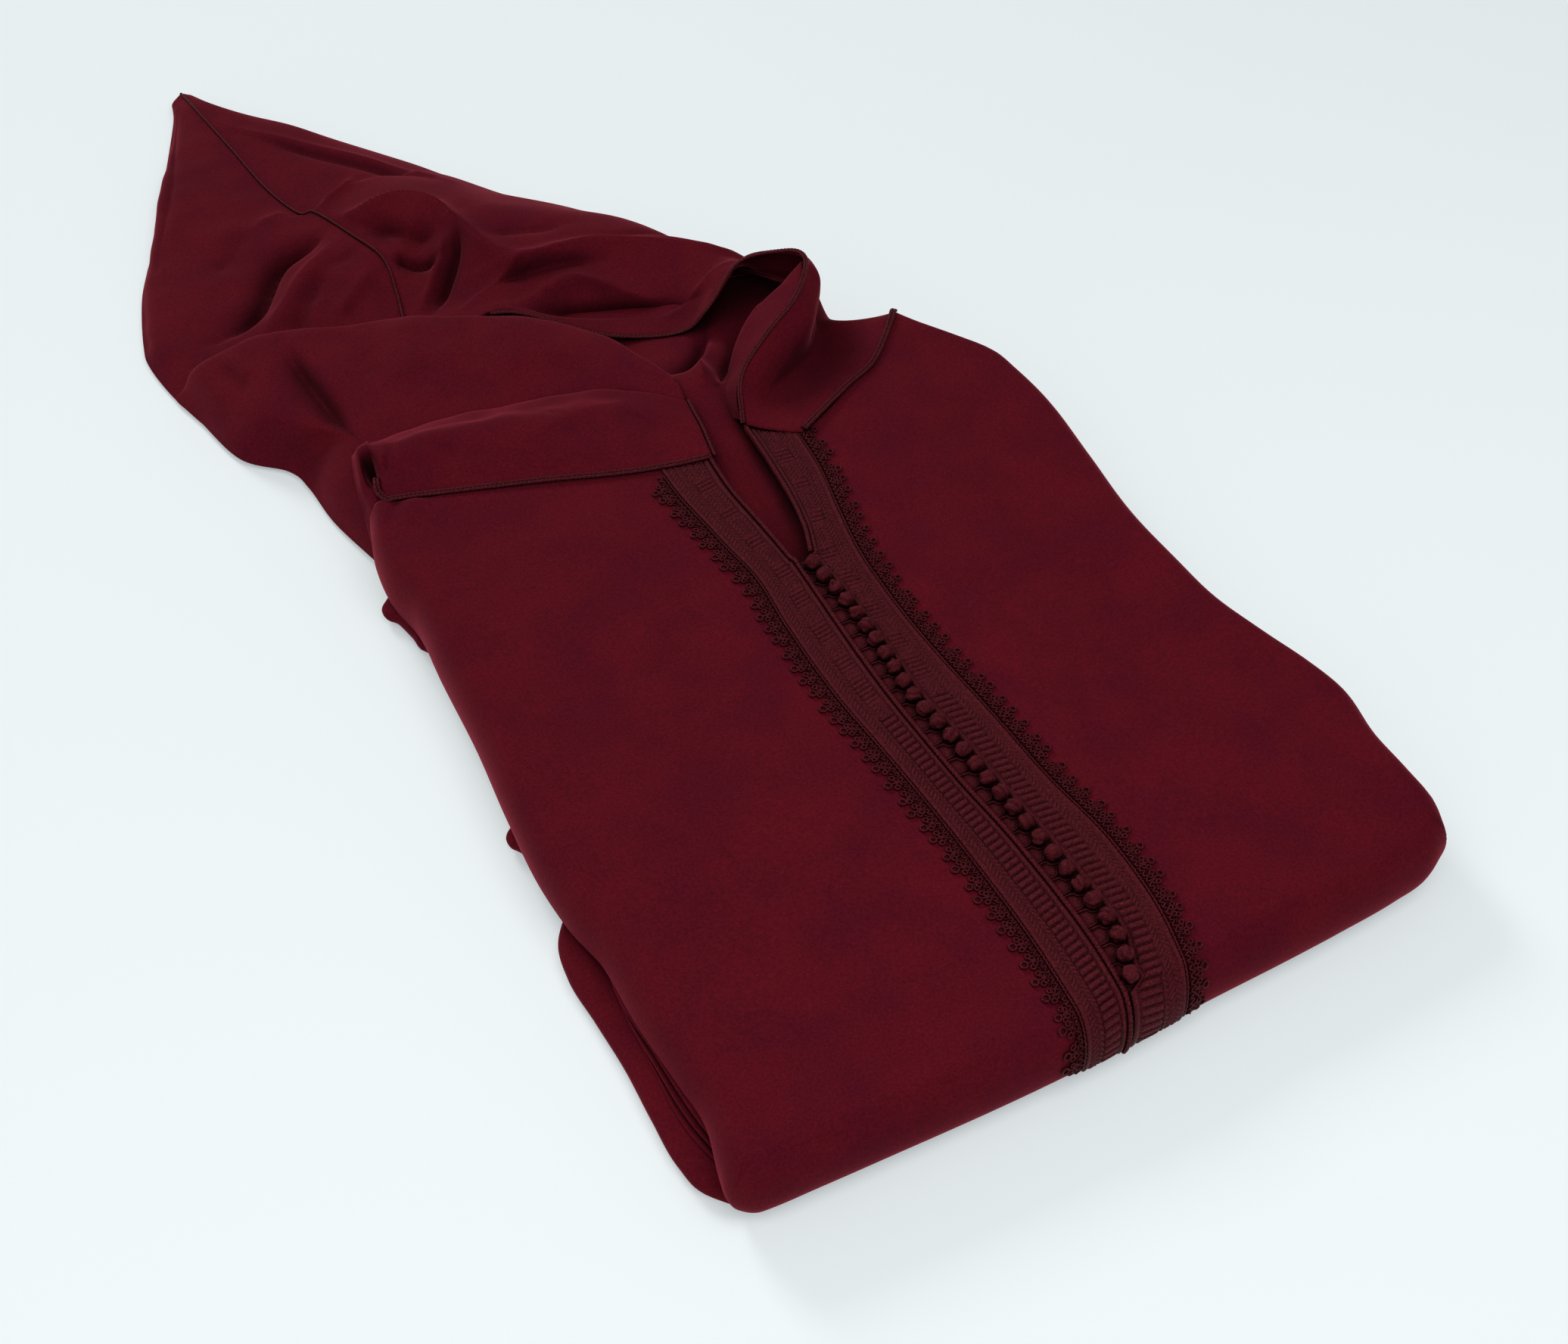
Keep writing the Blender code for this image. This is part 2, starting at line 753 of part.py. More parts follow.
def fill_under(over, plan, reach):
    """A flat-based solid under the given walls, with an edge as thin as the lowest layer of cloth. Its upper face
    starts at the lowest wall within reach of each point, then gives way wherever a wall still comes too near."""
    trees = [BVHTree.FromPolygons([tuple(v) for v in verts], faces) for verts, faces in over]
    turns = np.linspace(0, 2 * np.pi, 8, endpoint=False)
    around = [(0.0, 0.0)] + [(reach * np.cos(t), reach * np.sin(t)) for t in turns]
    up = Vector((0, 0, 1))
    high = np.full(plan.shape[:2], RIM)
    for i in range(1, plan.shape[0] - 1):
        for j in range(1, plan.shape[1] - 1):
            starts = [Vector((*(plan[i, j] + step), 0.0)) for step in around]
            hits = [tree.ray_cast(start, up)[0] for start in starts for tree in trees]
            high[i, j] = max(RIM, min((hit.z for hit in hits if hit is not None), default=RIM) - FILL_GAP)
    upper = np.column_stack([plan.reshape(-1, 2), high.reshape(-1)])
    faces = [half for a, b, c, d in grid_faces(*plan.shape[:2]) for half in ((a, b, c), (a, c, d))]
    points = np.concatenate([samples(body) for body in over])
    for _ in range(FILL_PASSES):
        tree = BVHTree.FromPolygons([tuple(v) for v in upper], faces)
        for point in points:
            hit, _, face, _ = tree.ray_cast(Vector((point[0], point[1], 0.0)), up)
            if hit is not None and hit.z > point[2] - FILL_GAP:
                corners = list(faces[face])
                upper[corners, 2] = np.maximum(RIM, upper[corners, 2] - (hit.z - point[2] + FILL_GAP))
    edge = dict(border(faces))
    loop = [next(iter(edge))]
    while len(loop) < len(edge):
        loop.append(edge[loop[-1]])
    base = [len(upper) + k for k in range(len(loop))]
    rim = [(loop[k], loop[k - 1], base[k - 1], base[k]) for k in range(len(loop))]
    lower = upper[loop] * (1, 1, 0)
    return np.concatenate([upper, lower]), faces + [tuple(base[::-1])] + rim


def eased(count):
    """Shares from 0 to 1, closer together at both ends."""
    return 0.5 - 0.5 * np.cos(np.pi * np.linspace(0, 1, count))


def body_plan(rows, columns):
    """Plan grid under the body, from the front fold to the shoulders, clear of the folded skirt on the left."""
    down, out = eased(rows)[:, None], eased(columns)
    x = np.full((rows, columns), RIGHT["x"].mean())
    for _ in range(8):
        front = follow(FRONT, "x", "y", x) + FILL_INSET
        y = front + (SHOULDER_LINE - front) * down
        left = follow(LEFT, "y", "x", y) + FILL_INSET
        left = np.where(y < SKIRT_END, SKIRT_ROOT + SKIRT_ROOM, left)
        x = left + (follow(RIGHT, "y", "x", y) - FILL_INSET - left) * out
    return np.stack([x, y], -1)


def hood_plan(rows, columns):
    """Plan grid under the hood, from the shoulders to the tip."""
    first, last = SHOULDER_LINE + GAP, HOOD_LEFT["y"][-1] - HOOD_FILL_INSET
    y = (first + (last - first) * eased(rows))[:, None] + np.zeros(columns)
    left = follow(HOOD_LEFT, "y", "x", y) + HOOD_FILL_INSET
    right = follow(HOOD_RIGHT_REACH, "y", "x", y) - HOOD_FILL_INSET
    return np.stack([left + (right - left) * eased(columns), y], -1)


# ---------------------------------------------------------------- the whole piece


def on_seam(edge, inner):
    """A sewn cord's path beside and just over a panel's edge, given the panel's next points inward."""
    away = (edge - inner) * (1, 1, 0)
    away /= np.linalg.norm(away, axis=1, keepdims=True)
    return edge + away * SEAM_STEP + (0, 0, CORD_RADIUS + TRIM_GAP)


def past_edge(edge, inner):
    """The path of a cord sewn on to a panel's free edge, given the panel's next points inward."""
    away = edge - inner
    away /= np.linalg.norm(away, axis=1, keepdims=True)
    return edge + away * (EDGE_CORD_RADIUS + 2 * TRIM_GAP)


def placket_path(side, step):
    """The path of the cord on the front's inner edge. The left one runs on down the slit and over the fold."""
    stations = fold_stations(PLACKET_TOP[side], step)
    if side == "right":
        stations = [station for station in stations if station[0] > V_FOOT + CORD_RADIUS]
    path = []
    for station in stations:
        left_edge, right_edge = split_edges(station[0] - PACK_ROLL * np.sin(station[1]))
        x = left_edge - CORD_RADIUS - GAP if side == "left" else right_edge + CORD_RADIUS + GAP
        path.append(front_point(np.array([x]), station)[0])
    path = np.array(path)
    out = np.cross(np.gradient(path, axis=0), (1, 0, 0))
    return path + out / np.linalg.norm(out, axis=1, keepdims=True) * (CORD_RADIUS + TRIM_GAP)


def button(name, x, y):
    """A knotted ball, a little flat underneath where it sits on the front."""
    past_fold = (y - follow(FRONT, "x", "y", x)) / PACK_ROLL
    turn = np.arcsin(np.clip(1 - past_fold, 0, 1))
    seat = front_point(np.array([x]), (y, turn))[0]
    segments, rings = 8, 5
    verts = [(0, 0, -BUTTON_SEAT)]
    for r in range(1, rings):
        polar = np.pi * r / rings
        for s in range(segments):
            around = 2 * np.pi * s / segments
            height = max(-np.cos(polar), -BUTTON_SEAT)
            verts.append((np.sin(polar) * np.cos(around), np.sin(polar) * np.sin(around), height))
    verts.append((0, 0, 1))
    faces = [(0, 1 + (s + 1) % segments, 1 + s) for s in range(segments)]
    for r in range(rings - 2):
        for s in range(segments):
            a, b = 1 + r * segments + s, 1 + r * segments + (s + 1) % segments
            faces.append((a, b, b + segments, a + segments))
    top = len(verts) - 1
    first = top - segments
    faces += [(first + s, first + (s + 1) % segments, top) for s in range(segments)]
    places = np.array(verts) * BUTTON_RADIUS + seat + (0, 0, BUTTON_SEAT * BUTTON_RADIUS + TRIM_GAP)
    return add(name, (places, faces), braid())


def split_edges(y):
    """The slit's left and right edge, or the V's, at y."""
    slit = follow(SLIT, "y", "x", y)
    mouth = y > V_FOOT
    return (follow(V_LEFT, "y", "x", y) if mouth else slit), (follow(V_RIGHT, "y", "x", y) if mouth else slit)


def button_line(y):
    return follow(BUTTONS, "y", "x", y)


def make_trim(side):
    """One braid band, its crochet edging and the cord on the front's inner edge."""
    left = side == "left"
    columns = BAND_SEAM_LEFT if left else BAND_SEAM_RIGHT
    slit_room = 2 * CORD_RADIUS + 3 * GAP

    def top(x):
        return follow(YOKE_SEAM if left else FOOT_SEAM, "x", "y", x) - BAND_TOP_ROOM

    def seam(y, number):
        return follow(columns, "y", "x", y)

    def inner(y, number):
        if left:
            return split_edges(y)[0] - slit_room
        if y > V_FOOT:
            return split_edges(y)[1] + slit_room
        return button_line(y) + BUTTON_RADIUS + GAP

    def lace(y, number):
        return seam(y, number) + (-1 if left else 1) * picot_reach(number)

    def lace_root(y, number):
        return seam(y, number) + (-GAP if left else GAP)

    band_stations = fold_stations(BAND_TOP, 14.0)
    lace_stations = fold_stations(BAND_TOP, PICOT_PITCH / 3)
    edges = (seam, inner) if left else (inner, seam)
    add(f"band_{side}", strip(band_stations, top, *edges, TRIM_GAP, BAND_THICK), braid())
    edges = (lace, lace_root) if left else (lace_root, lace)
    add(f"edging_{side}", strip(lace_stations, top, *edges, TRIM_GAP, EDGING_THICK, 2), braid())
    add(f"placket_cord_{side}", cord(placket_path(side, 20.0)), braid())


def main():
    for old in list(bpy.data.objects):
        bpy.data.objects.remove(old)

    walls = {}
    for side in ("left", "right"):
        verts, faces = front_half(side, 10, 5, 3)
        walls[f"front_{side}"] = wall(verts, faces, CLOTH, -CLOTH)
    seam = sections(CROWN_SEAM, "seam")
    crown = np.concatenate([sections(CROWN_LEFT, "fold side belly near"), seam - (CROWN_GAP, 0, 0)], 1)
    panels = {
        "hood_crown_left": (crown, 17, 9, True),
        "hood_left_side": (sections(LEFT_SIDE, "valley rise top brow tuck"), 21, 9, True),
        "yoke_left": (sections(YOKE, "seam front crest back valley"), 13, 9, True),
        "back_shoulder": (sections(BACK_SHOULDER, "out slope top"), 9, 5, False),
        "hood_right": (sections(HOOD_RIGHT, "edge strip lip ridge belly hem"), 43, 11, True),
        "collar_facing": (sections(FACING, "rim middle foot"), 11, 5, False),
        "back_neck": (sections(BACK_NECK, "left lower mid upper right"), 16, 9, False),
    }
    grids = {}
    for name, (rows, along, across, flip) in panels.items():
        grids[name] = loft(rows, along, across)
        walls[name] = wall(grids[name].reshape(-1, 3), grid_faces(along, across, flip), CLOTH, -CLOTH)
    for name, columns in (("skirt_fold_lower", SKIRT_LOWER), ("skirt_fold_upper", SKIRT_UPPER)):
        ring = skirt_fold(columns, 12, 5)
        walls[name] = wall(ring.reshape(-1, 3), grid_faces(*ring.shape[:2], flip=True), CLOTH, -CLOTH)
    for row, name in enumerate(("sleeve_tip_upper", "sleeve_tip_lower")):
        walls[name] = sleeve_tip(row)
    for name, body in walls.items():
        add(name, body, cloth())
    add("folded_layers", fill_under(list(walls.values()), body_plan(22, 18), 18.0), cloth())
    add("hood_layers", fill_under(list(walls.values()), hood_plan(22, 15), 12.0), cloth())
    for side in ("left", "right"):
        make_trim(side)
    yoke, right_panel = grids["yoke_left"], grids["hood_right"]
    cords = {
        "yoke_cord": on_seam(yoke[2:, 0], yoke[2:, 1]),
        "hood_foot_cord": on_seam(right_panel[34:, -1], right_panel[34:, -2]),
        "hood_seam_cord": grids["hood_crown_left"][:, -1] + (CROWN_GAP / 2, 0, CORD_RADIUS + TRIM_GAP),
    }
    for name, path in cords.items():
        add(name, cord(path), braid())
    edge_cords = {
        "hood_edge_cord": past_edge(right_panel[20:, 0], right_panel[20:, 1]),
        "yoke_edge_cord": past_edge(yoke[-1, :-1], yoke[-2, :-1]),
    }
    for name, path in edge_cords.items():
        add(name, cord(path, EDGE_CORD_RADIUS), braid())
    for number, y in enumerate(np.linspace(BUTTONS["y"][-1], BUTTONS["y"][0], BUTTON_COUNT), 1):
        button(f"button_{number:02d}", button_line(y), y)

    meshes = [made.data for made in bpy.data.objects]
    places = np.array([vertex.co for mesh in meshes for vertex in mesh.vertices])
    low, high = places.min(0), places.max(0)
    middle = Vector(((low[0] + high[0]) / 2, (low[1] + high[1]) / 2, low[2]))
    for mesh in meshes:
        mesh.transform(Matrix.Translation(-middle))


main()
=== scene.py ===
"""The looks of a djellaba that lies folded on a pale floor: cloth panels with their creases, braid bands,
crochet edging, knotted ball buttons and sewn cords, each in place of a plain solid of the frame.

The tables are in millimetres, in the garment's frame: x runs to the right along the front fold, y towards
the hood, z up from the floor, with x = y = 0 at the front left corner. to_frame() takes such points to the
frame, in metres."""

import json
import math

import bpy
import numpy as np
from mathutils import Matrix, Vector

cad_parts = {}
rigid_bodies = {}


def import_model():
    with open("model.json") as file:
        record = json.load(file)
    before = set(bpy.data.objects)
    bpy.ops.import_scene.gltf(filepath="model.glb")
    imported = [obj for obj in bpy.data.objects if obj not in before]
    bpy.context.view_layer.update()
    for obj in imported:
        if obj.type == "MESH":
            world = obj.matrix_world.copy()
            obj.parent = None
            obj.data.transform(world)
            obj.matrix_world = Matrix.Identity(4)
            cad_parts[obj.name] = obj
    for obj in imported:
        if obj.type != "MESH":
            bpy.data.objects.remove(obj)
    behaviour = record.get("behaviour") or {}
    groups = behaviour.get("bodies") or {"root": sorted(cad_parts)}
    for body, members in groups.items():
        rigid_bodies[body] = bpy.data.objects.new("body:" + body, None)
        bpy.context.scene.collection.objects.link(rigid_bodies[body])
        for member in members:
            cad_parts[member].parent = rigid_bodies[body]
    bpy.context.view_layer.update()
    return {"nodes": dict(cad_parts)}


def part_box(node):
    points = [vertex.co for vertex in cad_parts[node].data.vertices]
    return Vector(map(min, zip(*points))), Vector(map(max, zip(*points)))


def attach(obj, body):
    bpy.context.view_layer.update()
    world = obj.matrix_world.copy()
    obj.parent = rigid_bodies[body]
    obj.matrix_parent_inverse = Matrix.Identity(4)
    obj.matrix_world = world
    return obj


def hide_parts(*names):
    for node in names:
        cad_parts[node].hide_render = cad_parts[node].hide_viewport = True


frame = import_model()

MM = 0.001
TIP_CORNER = (-19.0, 384.0, 1.6)  # the upper sleeve tip's lowest corner, in the garment's frame
SHIFT = np.array(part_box("sleeve_tip_upper")[0]) / MM - TIP_CORNER

# Cloth and trim, in mm
CLOTH = 1.5
LEAF = 0.6  # the skirt's thin inner leaves
GAP = 0.3  # between cloth edges that meet
CROWN_GAP = 0.5  # between the hood's panels at the crown seam
TRIM_GAP = 0.45  # between the cloth and a trim on it
SEAM_STEP = 0.9  # from a panel's edge out to the cord on its seam
CORD_RADIUS = 1.4
EDGE_CORD_RADIUS = 1.3
BUTTON_RADIUS = 4.2
BUTTON_COUNT = 29
BUTTON_SEAT = 0.8  # share of its radius at which a button's flat side lies
PICOT_PITCH = 10.3

# The pack's rolled edge and the front fold
PACK_MID = 22.5  # height of the pack's widest line
PACK_ROLL = 13.0  # how far in from its outline the pack is rounded
FOLD_TURNS = np.radians(np.linspace(9, 90, 10))  # round the rolled edge, down to the widest line
FOLD_RADIUS = 18.0
UNDER_TURN = math.radians(126)  # how far the front turns under at the fold

# The camera: its place in the garment's frame, in mm, and its view, in degrees
CAMERA_PLACE = (-211.0, -480.0, 891.0)
CAMERA_DOWN = 46.0
CAMERA_TURN = 26.1
SENSOR = 36.0
FOCAL_SHARE = 3000 / 2072  # focal length over the picture's width


# ---------------------------------------------------------------- tables and curves


def table(text):
    """Columns by name, as arrays in mm, from a heading and one row for each station."""
    head, *rows = [line.split() for line in text.strip().splitlines()]
    values = np.array([[float(v) for v in row] for row in rows])
    return {name: values[:, k] for k, name in enumerate(head)}


def points_in(text):
    """Points from a line of cells such as 12,3.5."""
    return np.array([[float(v) for v in cell.split(",")] for cell in text.split()])


def sections(text):
    """A panel's sections as (row, point, xyz): its text has a heading of names, then rows of x,y,z cells."""
    return np.array([points_in(row) for row in text.strip().splitlines()[1:]])


def follow(columns, key, value, at):
    """A smooth curve through a table's column value against its column key, at the given places."""
    x, y = columns[key], columns[value]
    if x[0] > x[-1]:
        x, y = x[::-1], y[::-1]
    slope = np.gradient(y, x)
    at = np.clip(np.asarray(at, float), x[0], x[-1])
    k = np.clip(np.searchsorted(x, at) - 1, 0, len(x) - 2)
    span = x[k + 1] - x[k]
    t = (at - x[k]) / span
    rise = (2 * t**3 - 3 * t**2 + 1) * y[k] + (3 * t**2 - 2 * t**3) * y[k + 1]
    return rise + span * ((t**3 - 2 * t**2 + t) * slope[k] + (t**3 - t**2) * slope[k + 1])


def x_at(columns, y):
    """The x of a table's line at some y."""
    return follow(columns, "y", "x", y)


def y_at(columns, x):
    """The y of a table's line at some x."""
    return follow(columns, "x", "y", x)


def spline(points, count):
    """count points, evenly spaced by parameter, on a Catmull-Rom curve through points along axis 0."""
    points = np.asarray(points, float)
    last = len(points) - 1
    padded = np.concatenate([[2 * points[0] - points[1]], points, [2 * points[-1] - points[-2]]])
    at = np.linspace(0, last, count)
    k = np.minimum(at.astype(int), last - 1)
    t = (at - k).reshape([-1] + [1] * (points.ndim - 1))
    a, b, c, d = (padded[k + i] for i in range(4))
    return 0.5 * (2 * b + (c - a) * t + (2 * a - 5 * b + 4 * c - d) * t**2 + (3 * b - a - 3 * c + d) * t**3)


def loft(rows, along, across):
    """A grid of along x across points on the smooth surface through the rows of section points."""
    fine_rows = spline(np.asarray(rows).transpose(1, 0, 2), across).transpose(1, 0, 2)
    return spline(fine_rows, along)


def unit(vectors):
    """Vectors of length 1 that point the same way."""
    return vectors / np.maximum(np.linalg.norm(vectors, axis=-1, keepdims=True), 1e-9)


def gone_along(path):
    """The length gone at each point of a path."""
    return np.concatenate([[0], np.cumsum(np.linalg.norm(np.diff(path, axis=0), axis=1))])


def places_at(path, gone, at):
    """A path's places at some lengths, from the length gone at each of its points."""
    return np.stack([np.interp(at, gone, column) for column in path.T], 1)


def even(path, step):
    """A path's points again, about step apart."""
    path = np.asarray(path, float)
    gone = gone_along(path)
    return places_at(path, gone, np.linspace(0, gone[-1], max(2, int(round(gone[-1] / step)) + 1)))


def off_path(path, x, y):
    """Plan places seen from each stretch of a path: the way there, the share along it, and the stretch."""
    place = np.stack([x, y], -1)[..., None, :]
    start, run = path[:-1], np.diff(path, axis=0)
    along = np.clip(((place - start) * run).sum(-1) / (run**2).sum(-1), 0, 1)
    return place - start - along[..., None] * run, along, run


def to_frame(points):
    """Points in mm in the garment's frame, as metres in the frame."""
    return (np.asarray(points, float) + SHIFT) * MM


# ---------------------------------------------------------------- creases

# Each panel's soft troughs, with a depth below 0, and its ridges, each along its path in plan. left and right
# are the half-widths on each side of the path, seen along it. The body's change its height; the others move a
# panel along its normals.
CREASES = {
    "body": """
        depth left right path
         -2.2   16    16 30,430 46,404 60,372
         -1.6    9    14 12,450 24,436 34,414
         -1.6   18    20 110,300 96,240 88,180
          1.2   20    24 60,260 52,200 60,140
         -1.2   20    20 300,240 290,170 300,110
          1.0   16    20 350,150 352,100 346,50
         -1.4   10    12 270,420 284,380 292,340
         -2.4    5     6 1,446 6,458 16,468
          1.8    4     6 8,440 14,454 26,462
         -1.6    4     6 -4,430 0,444 3,458
    """,
    "hood_crown_left": """
        depth left right path
         -2.3    3     3 21,969 9,937 1,910 -9,874 -25,833 -44,786
        -13.2    8     5 -30,694 -14,700 0,710 10,724 18,738 28,751 40,756 54,761 70,771
          6.5    5    12 -5,677 3,687 19,705 34,722 51,737 74,757
          3.9    4     4 40,677 54,690 70,704 83,716
         -7.0    4     4 86,722 82,700 76,664
         -4.6    4     5 61,727 76,736 85,741
          3.9    4     5 25,671 32,690 39,701
         -4.6    5     5 12,668 24,688 40,710 58,728
          2.3    6     6 22,795 40,801 53,802
         -4.3   12    12 20,800 4,776 -14,760
          2.6   14    14 -40,800 -24,850 2,910
    """,
    "hood_right": """
        depth left right path
          3.4    4     8 40,931 56,904 76,881 103,849 130,817 159,777
         -5.9    5     6 47,912 70,880 89,855 108,832 127,810 146,787
          4.2    4     4 65,792 82,800 92,805 102,816
         10.4    6    11 62,780 84,766 102,759 119,748 132,731 139,712 144,692 150,674 162,660 180,652
         -8.8    9     9 83,754 97,735 112,718 126,712
         -7.0    4     4 87,720 97,706 109,696 122,694
         -8.0    4     4 138,708 129,690 114,671 98,655
          4.5    4     4 128,708 118,692 104,674 90,658
          5.9    5    14 144,664 164,657 187,653 214,644 239,630 267,610
         -4.3    7     7 150,690 172,684 202,674
         -6.1    5     5 140,652 162,648 185,642 206,630
          5.9    5     5 136,622 153,625 170,628 185,627 197,616 208,601 220,588
          3.9    5     7 213,571 233,572 256,575 277,581
        -10.5    4     4 147,620 166,612 184,602 202,592 220,582 244,570
          2.6    4     4 109,639 132,648 156,656 167,659
    """,
    "hood_left_side": """
        depth left right path
        -10.5    5    10 -2,636 0,601 5,571 11,535
          2.9    4     4 -34,651 -29,631 -25,619
         -3.5    5     6 -40,648 -35,628 -31,608
         -3.9   14    18 20,640 34,600 40,566
         -3.5   12    16 90,600 96,572 96,546
          2.1   14    14 58,620 66,590 68,556
    """,
    "yoke_left": """
        depth left right path
         -2.3    8    10 26,498 44,484 58,470
          2.3   10    10 89,467 114,473 139,476 160,481
         -2.6    6     8 146,474 160,460 166,444
         -2.1    8     8 108,490 118,474 124,456
         -2.9    4     5 8,478 16,488 22,500
    """,
    "back_neck": """
        depth left right path
        -10.5    5     8 196,512 210,516 226,530 236,548
          7.5    5     6 206,480 214,500 228,520 240,546
         -7.5    4     5 216,476 226,494 240,512 250,536
          7.5    5     6 228,476 240,492 252,510 262,536
         -6.0    4     6 242,480 256,496 266,516 272,540
         -1.5    6     8 196,440 200,400 197,350
    """,
}
CREASE_FADE = 0.3  # share of a crease over which each end dies away
CREASE_END = 0.25  # share of its depth that is left at each end
CREASE_POINTS = 24
CREASE_POWER = 1.2  # of the fall from a crease's line: 2 is soft, 1 is sharp


def creases_of(panel):
    """The creases of a panel as (depth, left, right, path)."""
    found = []
    for line in CREASES.get(panel, "").strip().splitlines()[1:]:
        depth, left, right, path = line.split(maxsplit=3)
        found.append((float(depth), float(left), float(right), spline(points_in(path), CREASE_POINTS)))
    return found


def crease_height(creases, x, y):
    """The sum of the creases at plan places x, y."""
    total = np.zeros(x.shape)
    for depth, left, right, path in creases:
        away, along, run = off_path(path, x, y)
        distance = np.linalg.norm(away, axis=-1)
        nearest = distance.argmin(-1)[..., None]
        distance = np.take_along_axis(distance, nearest, -1)[..., 0]
        share = (nearest[..., 0] + np.take_along_axis(along, nearest, -1)[..., 0]) / len(run)
        aside = run[..., 0] * away[..., 1] - run[..., 1] * away[..., 0]
        width = np.where(np.take_along_axis(aside, nearest, -1)[..., 0] > 0, left, right)
        fade = np.clip(np.minimum(share, 1 - share) / CREASE_FADE, 0, 1)
        strength = CREASE_END + (1 - CREASE_END) * fade * fade * (3 - 2 * fade)
        total += depth * np.exp(-((distance / width) ** CREASE_POWER)) * strength
    return total


def ripple(points, seed, size=0.35, length=38.0):
    """A slight unevenness all over a cloth, as a height at each point: the sum of seven slow waves."""
    chance = np.random.default_rng(seed)
    total = np.zeros(points.shape[:-1])
    for _ in range(7):
        direction = chance.normal(size=3)
        direction /= np.linalg.norm(direction) * length * chance.uniform(0.5, 1.6) / (2 * np.pi)
        total += np.sin(points @ direction + chance.uniform(0, 2 * np.pi))
    return total * size / 2


# ---------------------------------------------------------------- meshes


def grid_quads(along, across, flip=False):
    """Quads over a grid whose points are stored row by row."""
    corner = (np.arange(along - 1)[:, None] * across + np.arange(across - 1)).reshape(-1)
    quads = np.stack([corner, corner + 1, corner + across + 1, corner + across], 1)
    return quads[:, ::-1] if flip else quads


def ring_quads(rings, around, closed=False):
    """Quads over rings of points stored one after another; closed joins the last ring to the first."""
    ring, place = np.meshgrid(np.arange(rings if closed else rings - 1), np.arange(around), indexing="ij")
    here, ahead, after = ring * around, (ring + 1) % rings * around, (place + 1) % around
    return np.stack([here + place, here + after, ahead + after, ahead + place], -1).reshape(-1, 4).tolist()


def vertex_normals(verts, quads):
    """Each vertex's normal, over the quads that meet there."""
    face_normals = np.cross(verts[quads[:, 2]] - verts[quads[:, 0]], verts[quads[:, 3]] - verts[quads[:, 1]])
    normals = np.zeros_like(verts)
    for corner in range(4):
        np.add.at(normals, quads[:, corner], face_normals)
    return unit(normals)


def border(quads):
    """The directed edges that only one face has."""
    edges = np.concatenate([quads[:, [k, (k + 1) % 4]] for k in range(4)])
    there = {tuple(edge) for edge in edges.tolist()}
    return np.array(sorted((a, b) for a, b in there if (b, a) not in there))


EDGE_BULGE = 0.35  # how far a cloth's edge stands out in its middle, as a share of the thickness


def cloth_shell(verts, quads, thickness=CLOTH):
    """A closed sheet of cloth under the given outer surface, with a rounded edge."""
    normals = vertex_normals(verts, quads)
    count = len(verts)
    edges = border(quads)
    rim = np.unique(edges)
    outward = np.zeros((count, 3))
    run = verts[edges[:, 1]] - verts[edges[:, 0]]
    out = np.cross(run, normals[edges[:, 0]])
    np.add.at(outward, edges[:, 0], out)
    np.add.at(outward, edges[:, 1], out)
    middle = verts[rim] - normals[rim] * thickness / 2 + unit(outward[rim]) * thickness * EDGE_BULGE
    place = np.full(count, -1)
    place[rim] = 2 * count + np.arange(len(rim))
    a, b = edges[:, 0], edges[:, 1]
    upper_edge = np.stack([b, a, place[a], place[b]], 1)
    lower_edge = np.stack([place[b], place[a], a + count, b + count], 1)
    faces = np.concatenate([quads, quads[:, ::-1] + count, upper_edge, lower_edge])
    return np.concatenate([verts, verts - normals * thickness, middle]), faces


def put(name, data):
    """A new object in the scene."""
    made = bpy.data.objects.new(name, data)
    bpy.context.scene.collection.objects.link(made)
    return made


def add(name, verts, faces, finish, slot, *nodes):
    """A named piece from points in mm and faces, which stands for the given nodes."""
    mesh = bpy.data.meshes.new(name)
    mesh.from_pydata(to_frame(verts).tolist(), [], faces.tolist() if hasattr(faces, "tolist") else faces)
    mesh.materials.append(finish)
    mesh.shade_smooth()
    piece = put(name, mesh)
    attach(piece, "root")
    if nodes:
        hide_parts(*nodes)


def frames_along(path, closed=False):
    """Directions beside and over a path, carried along it without twist."""
    if closed:
        run = np.roll(path, -1, 0) - np.roll(path, 1, 0)
    else:
        run = np.gradient(path, axis=0)
    run = unit(run)
    current = np.cross(run[0], (0, 0, 1))
    if np.linalg.norm(current) < 0.1:
        current = np.cross(run[0], (0, 1, 0))
    side = np.empty_like(path)
    for k, ahead in enumerate(run):
        current = current - ahead * (current @ ahead)
        current = current / np.linalg.norm(current)
        side[k] = current
    return side, np.cross(run, side)


def tube(path, radius, sides=6, closed=False):
    """A round thread along a path; radius may differ along it and round it."""
    path = np.asarray(path, float)
    side, up = frames_along(path, closed)
    turns = np.linspace(0, 2 * np.pi, sides, endpoint=False)
    radius = np.broadcast_to(np.asarray(radius, float), (len(path), sides))[..., None]
    across, over = np.cos(turns)[:, None] * side[:, None], np.sin(turns)[:, None] * up[:, None]
    rings = path[:, None] + radius * (across + over)
    faces = ring_quads(len(path), sides, closed)
    if not closed:
        faces.append(list(range(sides))[::-1])
        faces.append(list(range((len(path) - 1) * sides, len(path) * sides)))
    return rings.reshape(-1, 3), faces


def joined(bodies):
    """Several bodies as one list of points and one of faces."""
    verts, faces, count = [], [], 0
    for body_verts, body_faces in bodies:
        verts.append(body_verts)
        faces += [[k + count for k in face] for face in body_faces]
        count += len(body_verts)
    return np.concatenate(verts), faces


# ---------------------------------------------------------------- materials

